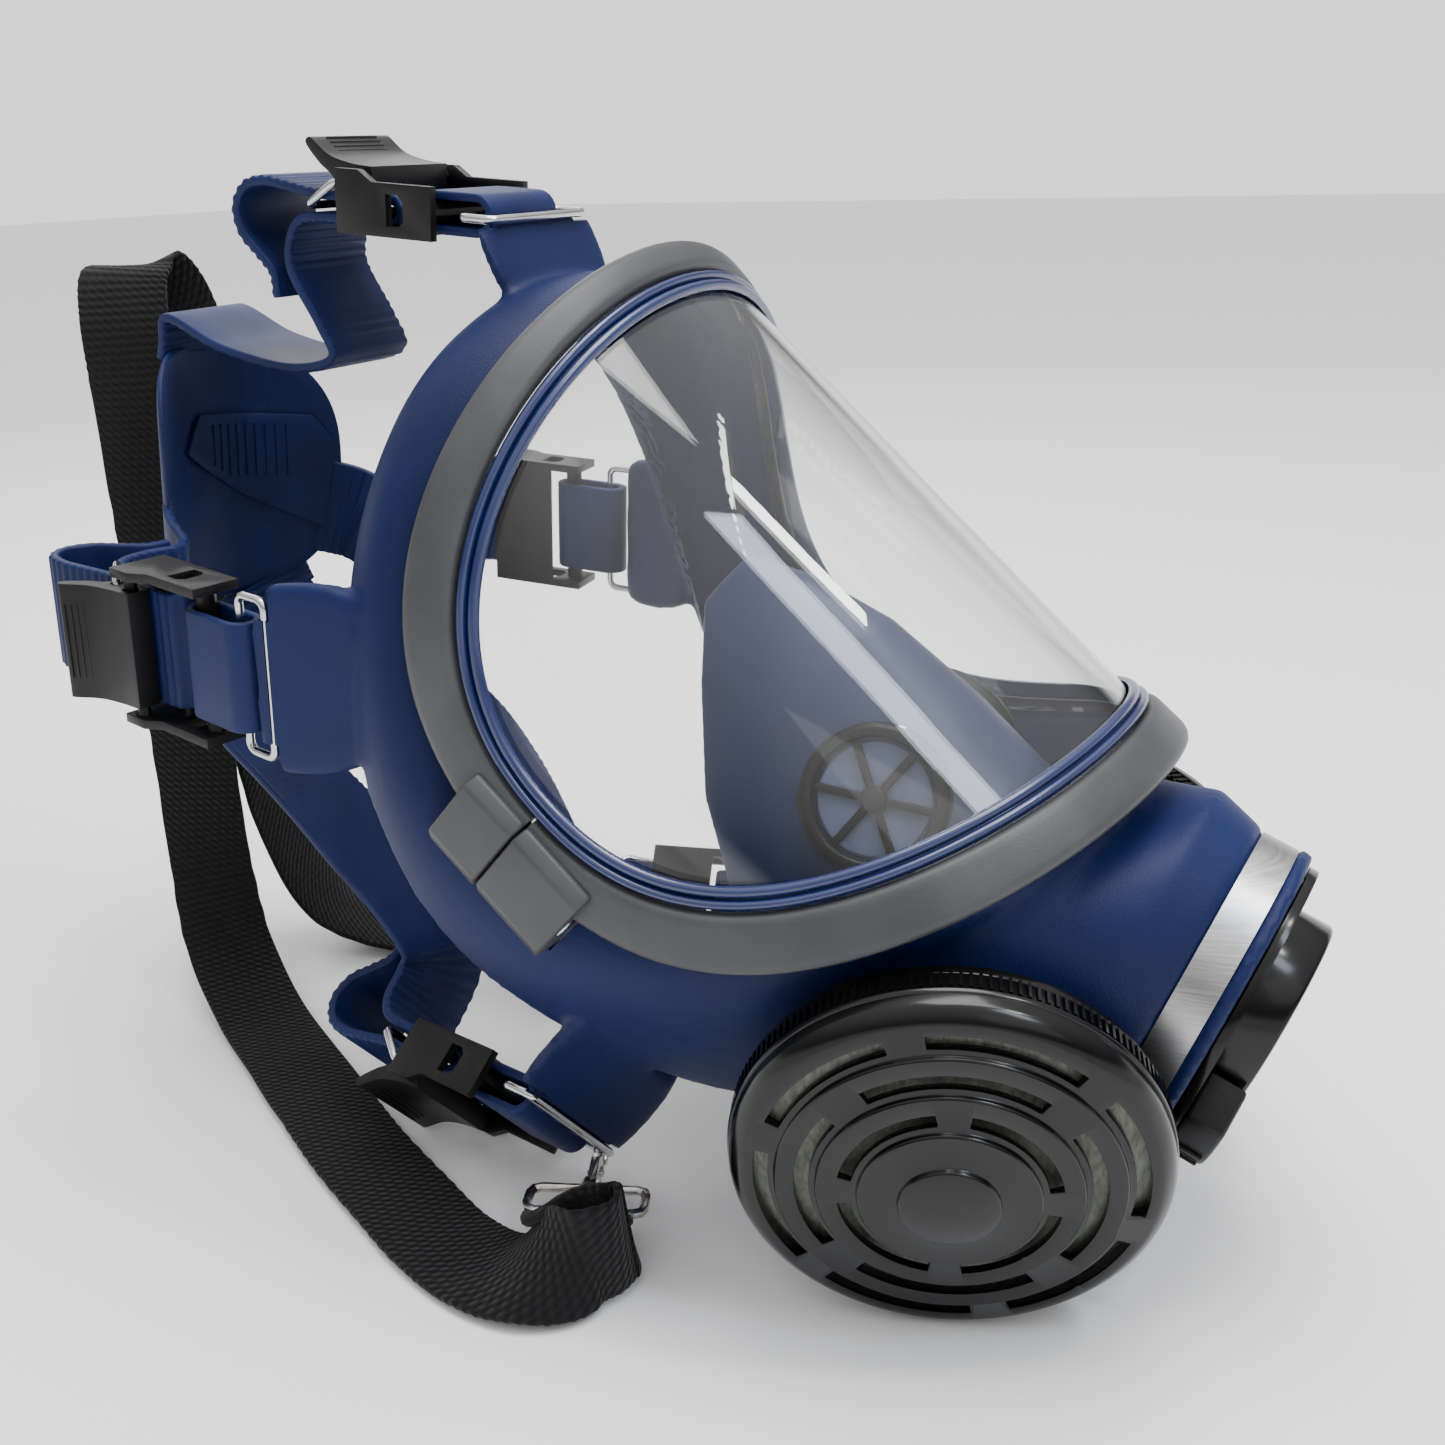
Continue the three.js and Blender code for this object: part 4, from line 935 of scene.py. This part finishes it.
makeNoseCup()
makeValves()
print("nose cup and valves made")


canister = {"radius": 45, "rings": (34.9, 26.5, 18.1, 9.9), "step": 1.7, "ribs": 150, "ribDepth": 0.5,
            "slots": ((36.6, 39.6, 6), (28.2, 31.2, 4), (19.8, 22.6, 4))}  # inner and outer radius, how many


def arcSlot(inner, outer, middle, span, z0, z1, steps=14):
    angles = [middle - span / 2 + span * i / steps for i in range(steps + 1)]
    outline = [(math.cos(a) * outer, math.sin(a) * outer) for a in angles]
    outline += [(math.cos(a) * inner, math.sin(a) * inner) for a in angles[::-1]]
    return extrude(outline, z0, z1)


def makeFilter(word, side):
    local = filterFrame(side)
    radius, rise = canister["radius"], canister["step"]
    profile = [(0, -13.8), (radius, -13.8), (radius, -5.6), (radius - 0.3, -4.8), (radius - 1, -3.6), (42.4, -2.2),
               (41.6, -1.9)]
    for i, r in enumerate(canister["rings"]):
        profile += [(r + 0.5, rise * (i - 0.75)), (r + 0.35, rise * i - 0.3), (r, rise * i)]
    profile += [(8.6, 3 * rise + 0.15), (7.8, 3 * rise + 0.6), (0, 5.75)]
    cover = newPiece("filter_shell_" + word, [lathe(profile, 150)], local)
    room = lathe([(0, -15), (43.2, -15), (43.2, -6), (36, -3.2), (9, 3.1), (0, 3.1)], 100)
    cutters = [newPiece("cut", [room], local)]
    for row, (inner, outer, count) in enumerate(canister["slots"]):
        pitch = math.tau / count
        for i in range(count):
            slot = arcSlot(inner, outer, pitch * (i + row * 0.5), pitch * 0.8, -6, 9)
            cutters.append(newPiece("cut", [slot], local))
    combine(cover, cutters)
    roundEdges(cover, 0.00022, 2)
    smoothTo(cover, 36)
    finishPiece(cover, "filter_" + word, "gloss_black", ["filter_cover_" + word])
    ribs = []
    for i in range(canister["ribs"]):
        rib = block((radius - 0.4, radius + canister["ribDepth"]), (-0.35, 0.35), (-13.7, -9.6))
        ribs.append(moved(rib, Matrix.Rotation(math.tau * i / canister["ribs"], 4, "Z")))
    skirt = newPiece("filter_ribs_" + word, ribs, local)
    finishPiece(skirt, "filter_" + word, "gloss_black", [])
    rows = [(radius - 0.2, -9.3), (radius + 0.5, -9.1), (radius + 0.6, -8.6), (radius + 0.3, -8), (radius - 0.2, -7.8)]
    bead = newPiece("filter_bead_" + word, [lathe(rows, 128)], local)
    finishPiece(bead, "filter_" + word, "gloss_black", [])
    rows = [(0, -10.2), (42.2, -10.2), (42.2, -7.4), (36, -4.4), (30, -4.1), (20, -4.4), (8, -4.1), (0, -4.2)]
    media = newPiece("filter_felt_" + word, [lathe(rows, 96)], local)
    finishPiece(media, "filter_" + word, "felt", ["filter_media_" + word])
    rows = [(16, -10.6), (42.6, -10.6), (42.6, -14.1), (44.6, -14.1), (44.6, -16.4), (43.8, -17), (40, -17.6),
            (20.6, -19.2), (20.6, -26.6), (16, -26.6)]
    base = newPiece("filter_back_" + word, [lathe(rows, 128)], local, bevel=0.25)
    finishPiece(base, "filter_" + word, "gloss_black", ["filter_base_" + word])
    rows = [(21.2, -20), (25.5, -20), (25.5, -27.3), (23, -27.3), (23, -33), (21.2, -33)]
    collar = newPiece("filter_collar_" + word, [lathe(rows, 96)], local, bevel=0.3)
    finishPiece(collar, "mask", "satin_black", ["filter_adapter_" + word])


for sideName, sideSign in sides:
    makeFilter(sideName, sideSign)
print("filters made")


housing = {"tube": 22.1, "bore": 18.6, "length": 14.1, "band": 8.2}
housingFrame = axesMatrix(Vector((1, 0, 0)), -neckBack, neckAxis, neck["centre"])


def oval(halfWidth, halfDepth, z0, z1, steps=120):
    outline = [(halfWidth * math.cos(t), halfDepth * math.sin(t)) for t in turns(steps)]
    return extrude(outline, z0, z1)


def tubeRows():
    r, end = housing["tube"], housing["length"]
    return [(housing["bore"], 2.6), (r - 1.4, 2.6), (r - 1.4, 5), (r, 5.2), (r, end - 1), (r - 0.5, end - 0.2),
            (r - 1.1, end), (housing["bore"] + 0.4, end), (housing["bore"], end - 0.4)]


def makeHousing():
    body = newPiece("connector_housing", [oval(28.6, 32.6, -12, 4)], housingFrame)
    lip = newPiece("cut", [oval(31.5, 35.5, 3.6, 5.6)], housingFrame)
    combine(body, [lip], "UNION")
    combine(body, [newPiece("cut", [oval(25.4, 29.4, -13, 2.4)], housingFrame),
                   newPiece("cut", [moved(rod(18.6, -14, 16.1, 96), Matrix.Translation((0, 4, 0)))], housingFrame)])
    edge = body.modifiers.new("edges", "BEVEL")
    edge.width = 0.0005
    edge.segments = 3
    edge.limit_method = "ANGLE"
    bake(body)
    smoothTo(body, 38)
    finishPiece(body, "mask", "gloss_black", ["front_housing"])
    tube = newPiece("connector_tube", [moved(lathe(tubeRows(), 120), Matrix.Translation((0, 4, 0)))], housingFrame)
    finishPiece(tube, "mask", "gloss_black", [])
    threads = []
    for i in range(4):
        z = 12.4 - 2.4 * i
        ridge = [(housing["bore"] + 0.3, z), (housing["bore"] - 0.7, z - 0.5), (housing["bore"] - 0.7, z - 0.8),
                 (housing["bore"] + 0.3, z - 1.3)]
        threads.append(moved(lathe(ridge, 96), Matrix.Translation((0, 4, 0))))
    finishPiece(newPiece("connector_threads", threads, housingFrame), "mask", "gloss_black", [])


def makeBand():
    band = newPiece("band_strip", [oval(33.5, 37.5, -housing["band"], 0)], housingFrame)
    combine(band, [newPiece("cut", [oval(32.4, 36.4, -housing["band"] - 1, 1)], housingFrame)])
    edge = band.modifiers.new("edges", "BEVEL")
    edge.width = 0.0002
    edge.limit_method = "ANGLE"
    bake(band)
    smoothTo(band, 38)
    finishPiece(band, "mask", "steel", ["housing_clamp_band"], "band")
    ear = newPiece("band_screw", [block((-7, 7), (-41.5, -36.8), (-7.4, -0.8))], housingFrame, bevel=0.8, segments=3)
    finishPiece(ear, "mask", "steel", [], "band")


def makeExhalationCover():
    edge = [(30.5 * math.cos(a), 34.5 * math.sin(a)) for a in (math.pi * (1 + (i / 4 + 1.6) / 15.2) for i in range(49))]
    back = [math.pi * (1 + (8 - i / 4 + 0.9) / 9.8) for i in range(33)]
    edge += [(23 * math.cos(a), 4 + 23 * math.sin(a)) for a in back]
    cover = newPiece("vent_cover", [extrude(edge, 5.95, 14.5)], housingFrame, bevel=0.9, segments=3)
    finishPiece(cover, "mask", "satin_black", ["exhalation_cover"])
    ribs = []
    for i in range(9):
        angle = math.pi * (1.22 + 0.56 * i / 8)
        rib = moved(block((30.6, 31.3), (-0.7, 0.7), (7.4, 13.4)), Matrix.Rotation(angle, 4, "Z"))
        ribs.append(moved(rib, Matrix.Diagonal((1, 34.5 / 30.5, 1, 1))))
    finishPiece(newPiece("vent_ribs", ribs, housingFrame, bevel=0.2), "mask", "satin_black", [])


makeHousing()
makeBand()
makeExhalationCover()
print("housing made")


def racetrack(start, end, radius, steps=14):
    left = [(start + math.cos(a) * radius, math.sin(a) * radius)
            for a in (math.pi / 2 + math.pi * i / steps for i in range(steps + 1))]
    right = [(end + math.cos(a) * radius, math.sin(a) * radius)
             for a in (-math.pi / 2 + math.pi * i / steps for i in range(steps + 1))]
    return left + right


def ringed(outer, inner, half):
    # band between two outlines of equal count, run across the strap
    rings = []
    for (ax, az), (bx, bz) in zip(outer, inner):
        rings.append([Vector((ax, -half, az)), Vector((ax, half, az)), Vector((bx, half, bz)), Vector((bx, -half, bz))])
    return loft(rings, True)


leverOutline = [(38, 3.6), (44, 3.4), (49.4, 3), (50, 6), (54, 9), (58, 13.5), (57.4, 14.4), (56.6, 14.6), (51, 11),
                (44, 9.4), (38, 9)]


def leverShape():
    smooth = spline([(x, 0, z) for x, z in leverOutline], 60)
    return crossExtrude([(p.x, p.z) for p in smooth], 14)


def makeStation(name):
    local = stationFrame(name)
    size = stationSize
    across, along = Vector((0, 1, 0)), Vector((1, 0, 0))
    path = roundedPath((size["bar"] / 2, 0, 0), across, along, size["wireHalf"], size["bar"] / 2, 2.2)
    finishPiece(wireMesh("wire_" + name, path, size["wire"], local), "mask", "steel", ["wire_loop_" + name])

    band = ringed(racetrack(size["bar"], size["crossbar"], 4.9), racetrack(size["bar"], size["crossbar"], 2.9), 13)
    loop = newPiece("rubber_loop_" + name, [band], local, bevel=0.6, segments=3)
    finishPiece(loop, "mask", "blue_rubber", ["short_loop_" + name], "strap")

    dress("buckle_" + name, "satin_black", 0.35)

    lever = newPiece("lever_plate_" + name, [leverShape()], local)
    combine(lever, [newPiece("cut", [crossRod(1.9, size["axle"], 20)], local),
                    newPiece("cut", [crossRod(1.4, size["bore"], 20)], local)])
    roundEdges(lever, 0.0006, 3)
    smoothTo(lever, 38)
    finishPiece(lever, "lever_" + name, "satin_black", ["lever_" + name])
    grip = []
    for i in range(4):
        x = 52.6 + 1.15 * i
        z = 11.2 + 0.93 * i
        grip.append(crossExtrude([(x - 0.3, z - 0.4), (x + 0.1, z - 0.2), (x - 0.15, z + 0.75), (x - 0.5, z + 0.5)], 9))
    finishPiece(newPiece("lever_grip_" + name, grip, local, bevel=0.12), "lever_" + name, "satin_black", [])

    a, b = Vector((size["bore"][0], 0, size["bore"][1])), Vector((size["ringBar"][0], 0, size["ringBar"][1]))
    path = roundedPath((a + b) / 2, across, (b - a).normalized(), 15.6, (b - a).length / 2, 2.2)
    finishPiece(wireMesh("d_ring_" + name, path, size["wire"], local), "lever_" + name, "steel", ["ring_" + name])


def crossRod(radius, at, half):
    outline = [(at[0] + radius * math.cos(t), at[1] + radius * math.sin(t)) for t in turns(32)]
    return crossExtrude(outline, half)


for stationName in stationNames:
    makeStation(stationName)
print("buckles made")


plate = {"centre": (0, 71.7, 153.4), "down": (0, 0.82, -0.572), "out": (0, 0.572, 0.82), "bend": 0.0185,
         "halfWidth": 33, "halfHeight": 37, "thick": 1.25}
strap = {"width": 28, "thickness": 2.2, "ribs": 0.45, "pitch": 2.6, "rows": 420}


def plateSpot(x, down, out):
    return (Vector(plate["centre"]) + Vector((x, 0, 0)) + Vector(plate["down"]).normalized() * down
            + Vector(plate["out"]).normalized() * (out - plate["bend"] * x * x))


def makePlate():
    layers = []
    for share, out in ((0.05, 1), (0.3, 1), (0.55, 1), (0.75, 1), (0.9, 1), (0.97, 0.95), (0.995, 0.6), (1, 0.1),
                       (1, -0.1), (0.995, -0.6), (0.97, -0.95), (0.9, -1), (0.75, -1), (0.55, -1), (0.3, -1), (0.05, -1)):
        ring = []
        for t in turns(96):
            x = plate["halfWidth"] * share * signedPower(math.cos(t), 0.7)
            down = plate["halfHeight"] * share * signedPower(math.sin(t), 0.7)
            ring.append(plateSpot(x, down, plate["thick"] * out))
        layers.append(ring)
    pad = newPiece("head_pad", [loft(layers)], angle=60)
    finishPiece(pad, "mask", "blue_rubber", ["head_plate"], "strap")


pullTab = {"middle": (12, -4), "outline": ((-3.5, -17.5), (27, -15), (31, -7), (28.5, 18.5), (10, 7.5), (-10, -8)),
           "level": -2.15, "thick": 0.8, "ribs": 9, "firstRib": 1, "pitch": 2.5, "ribHeight": 0.55}


def makePullTab():
    # ribbed tab that lies on the inner side of the plate
    rim = []
    corners = pullTab["outline"]
    for (ax, ad), (bx, bd) in zip(corners, corners[1:] + corners[:1]):
        rim += [(ax + (bx - ax) * i / 8, ad + (bd - ad) * i / 8) for i in range(8)]
    mx, md = pullTab["middle"]
    layers = []
    for share, out in ((0.05, 1), (0.4, 1), (0.75, 1), (0.96, 1), (1, 0.6), (1, -0.6), (0.96, -1), (0.75, -1), (0.4, -1),
                       (0.05, -1)):
        layers.append([plateSpot(mx + (x - mx) * share, md + (down - md) * share,
                                 pullTab["level"] + pullTab["thick"] * out) for x, down in rim])
    tab = newPiece("pull_tab", [loft(layers)], angle=50)
    finishPiece(tab, "mask", "blue_rubber", [], "strap")
    ribs = []
    face = pullTab["level"] - pullTab["thick"]
    for i in range(pullTab["ribs"]):
        x = pullTab["firstRib"] + pullTab["pitch"] * i
        top = -14.5 + 0.08 * x
        low = min(top + 15, -3.5 + 0.75 * x)
        rings = []
        for step in range(7):
            down = top + (low - top) * step / 6
            rings.append([plateSpot(x + a, down, face - b)
                          for a, b in ((-0.6, -0.3), (0.6, -0.3), (0.35, pullTab["ribHeight"]),
                                       (-0.35, pullTab["ribHeight"]))])
        ribs.append(loft(rings))
    finishPiece(newPiece("pull_tab_ribs", ribs, angle=30), "mask", "blue_rubber", [], "strap")


def tailStops(local):
    # tail of a strap: round the bar in the buckle, out through the ring and looped back
    tail = [(70.6, -24), (71.5, -18), (76, -13.5), (81, -9), (82.4, -3), (79, 2), (73, 3.6), (66, 3),
            (57, 1.8), (46, 1.7), (35, 1.7), (33, 1.8), (31, 1), (30.2, -0.9), (31, -2.8), (33, -3.6),
            (36, -3.5), (46, -3.5), (56, -3.5), (62, -4.8), (65.2, -9), (66, -16)]
    wide = local.col[1].to_3d()
    return [(local @ Vector((x, 0, z)), wide) for x, z in tail]


def strapRoute(name):
    # the way on from the ring to the head plate, the end sunk in the plate's edge
    side = {"right": -1, "left": 1}.get(name.split("_")[-1], 0)
    if name == "forehead":
        spots = [((0, -2, 136), (-1, 0, 0)), ((0, 1.5, 129), (-1, 0, 0)), ((0, 12, 136), (-1, 0, 0)),
                 ((0, 26, 158), (-1, 0, 0)), (plateSpot(0, -45, -2.2), (-1, 0, 0)),
                 (plateSpot(0, -38.5, -0.9), (-1, 0, 0)), (plateSpot(0, -34, 0), (-1, 0, 0))]
    elif name.startswith("temple"):
        spots = [((44 * side, 65.2, 114.2), (0, -0.8 * side, 0.6 * side)),
                 ((38.6 * side, 68.6, 118.6), (0, -0.81 * side, 0.58 * side)),
                 (plateSpot(35.2 * side, 14.5, -0.4), (0, -0.82 * side, 0.57 * side)),
                 (plateSpot(33.3 * side, 13.5, 0), (0, -0.82 * side, 0.57 * side)),
                 (plateSpot(29 * side, 12, 0), (0, -0.82 * side, 0.57 * side))]
    else:
        spots = [((28.2 * side, 101.8, 3.6), (0.85, -0.23 * side, 0.47 * side)),
                 ((26.1 * side, 96.6, 8), (0.97, 0.06 * side, 0.22 * side)),
                 ((27.5 * side, 92, 24), (0.98, 0, 0.05 * side)),
                 ((30 * side, 90, 40), (0.99, -0.05 * side, 0)),
                 ((31 * side, 89, 56), (0.99, -0.1 * side, 0)),
                 ((30.5 * side, 90.5, 70), (0.98, -0.15 * side, 0)),
                 ((28.5 * side, 94, 85), (0.97, -0.2 * side, -0.05 * side)),
                 ((24 * side, 98, 104), (0.95, -0.3 * side, -0.1 * side)),
                 (plateSpot(19.4 * side, 44, -0.5), (0.92, -0.34 * side, -0.2 * side)),
                 (plateSpot(17.4 * side, 39.4, 0), (0.9, -0.36 * side, -0.25 * side)),
                 (plateSpot(15.6 * side, 34, 0), (0.9, -0.36 * side, -0.25 * side))]
    return [(Vector(at), Vector(wide).normalized()) for at, wide in spots]


def makeStrap(name):
    stops = tailStops(stationFrame(name)) + strapRoute(name)
    rows = ribbonPath(stops, strap["rows"])
    band = ribbonMesh("rubber_strap_" + name, rows, strap["width"], strap["thickness"], ribs=strap["ribs"],
                      pitch=strap["pitch"])
    band.data.materials.append(finishes["strap"])
    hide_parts("strap_" + name)
    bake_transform(band)


makePlate()
makePullTab()
for stationName in stationNames:
    makeStrap(stationName)
print("head harness made")


neckStrap = {"width": 25, "thickness": 1.6, "scallop": 0.28, "pitch": 2.1, "rows": 620}
clasp = {"scale": 0.74, "eye": 26.4, "back": 0.8, "drop": 1.3, "away": (0.92, -0.39)}

# places on the table and directions of the webbing's width, from the left clasp towards the back
endSpots = [
    ((74.5, -16, 14.2), (-0.1, -0.1, -1)),
    ((80.5, -18, 14.4), (0, 0, -1)),
    ((86, -14, 14), (0.1, 0.1, -1)),
    ((89.5, -3, 10), (0.7, 0.1, -0.7)),
    ((89, 11, 3.8), (0.98, 0.1, -0.1)),
    ((84.5, 28, 2.2), (0.96, 0.25, 0)),
    ((76, 48, 2.2), (0.92, 0.38, 0)),
    ((66, 70, 2.2), (0.88, 0.47, 0)),
    ((56, 89, 2.2), (0.87, 0.49, 0)),
]

# up behind the head plate, over, and down again
overSpots = [
    ((-42, 115, 2.4), (0.87, -0.5, 0)),
    ((-27, 143, 4), (0.85, -0.53, 0)),
    ((-13, 168, 16), (0.7, -0.72, 0)),
    ((-5, 179.5, 38), (0.49, -0.87, 0)),
    ((-4, 180.5, 72), (0.49, -0.87, 0)),
    ((-4, 180.5, 112), (0.49, -0.87, 0)),
    ((-4, 181, 152), (0.49, -0.87, 0)),
    ((-4, 181.5, 184), (0.49, -0.87, 0)),
    ((-3, 182.5, 201), (0.49, -0.87, 0)),
    ((1.5, 185, 211.5), (0.49, -0.87, 0)),
    ((9, 187, 212.5), (0.55, -0.83, 0)),
    ((15, 185, 204), (0.8, -0.6, 0)),
    ((18, 181, 186), (0.96, -0.27, 0)),
    ((18, 178, 160), (1, 0, 0)),
    ((18, 177, 120), (1, 0, 0)),
    ((18, 175, 80), (1, 0, 0)),
    ((19, 170, 42), (1, 0.1, 0)),
    ((22, 158, 14), (0.95, 0.3, 0)),
    ((31, 137, 3.6), (0.87, 0.49, 0)),
    ((43, 113, 2.4), (0.87, 0.49, 0)),
]


def claspFrame(side):
    # millimetres on the table; x leads away from the wire, y down
    local = toTable @ stationFrame("cheek_right" if side < 0 else "cheek_left")
    hook = local @ Vector((stationSize["bar"] / 2, -side * stationSize["wireHalf"], 0)) * 1000
    away = Vector((clasp["away"][0] * side, clasp["away"][1], 0)).normalized()
    down = Vector((0, 0, -1))
    return axesMatrix(away, down, away.cross(down), hook - away * clasp["back"] - Vector((0, 0, clasp["drop"])))


def neckStops():
    # from the right clasp over the table, up behind the head plate, and down to the left clasp
    ends = []
    for side in (-1, 1):
        local = claspFrame(side)
        away = local.col[0].to_3d()
        wide = Vector((away.y, -away.x, 0))
        ends.append([(local @ Vector((clasp["eye"], 0, 0)), wide), (local @ Vector((31, -3.4, -0.4)), wide)])
    nearSpots = [((-x, y, z), (wx, -wy, -wz)) for (x, y, z), (wx, wy, wz) in endSpots]
    middle = [*nearSpots, *overSpots, *endSpots[::-1]]
    drop = rest["height"] - 109.9
    spots = [(Vector((x, y + rest["back"], z + drop)), Vector(wide).normalized()) for (x, y, z), wide in middle]
    return ends[0] + spots + ends[1][::-1]


def onMask(rows):
    # places on the table in millimetres, as the mask's own frame sees them
    inMask = toTable.inverted() @ Matrix.Scale(0.001, 4)
    turn = inMask.to_3x3()
    return [(inMask @ at, (turn @ across).normalized(), (turn @ face).normalized()) for at, across, face in rows]


def makeNeckStrap():
    rows = ribbonPath(neckStops(), neckStrap["rows"])
    band = ribbonMesh("neck_webbing", onMask(rows), neckStrap["width"], neckStrap["thickness"], edge=neckStrap["scallop"],
                      pitch=neckStrap["pitch"])
    finishPiece(band, "mask", "webbing", ["neck_strap"])
    fold = [makeFold(word, rows if side < 0 else rows[::-1]) for word, side in sides]


def makeFold(word, rows):
    # sewn end of the webbing, doubled back round the eye
    thick = neckStrap["thickness"] * 1.9
    fold = ribbonMesh("webbing_fold_" + word, onMask(rows[1:34]), neckStrap["width"] - 0.6, thick, edge=0.3,
                      pitch=neckStrap["pitch"])
    return finishPiece(fold, "mask", "webbing", [])


def makeClasp(word, side):
    dress("clasp_body_" + word, "nickel", 0.3, body="clasp_" + word)
    dress("clasp_gate_" + word, "nickel", 0.2, body="gate_" + word)
    dress("clasp_swivel_" + word, "nickel", 0.25)
    local = toTable.inverted() @ Matrix.Scale(0.001, 4) @ claspFrame(side)
    scale = clasp["scale"]
    rivet = [(0, -2.0), (1.5, -2.0), (1.7, -1.7), (1.7, 1.7), (1.5, 2.0), (0.8, 2.05), (0.7, 1.85), (0, 1.85)]
    spot = Matrix.Translation((7.4 * scale, 2.6 * scale, 0)) @ Matrix.Scale(scale, 4)
    pin = newPiece("clasp_rivet_" + word, [moved(lathe(rivet, 32), spot)], local)
    return finishPiece(pin, "clasp_" + word, "nickel", [])


makeNeckStrap()
for claspWord, claspSide in sides:
    makeClasp(claspWord, claspSide)
print("neck strap made")
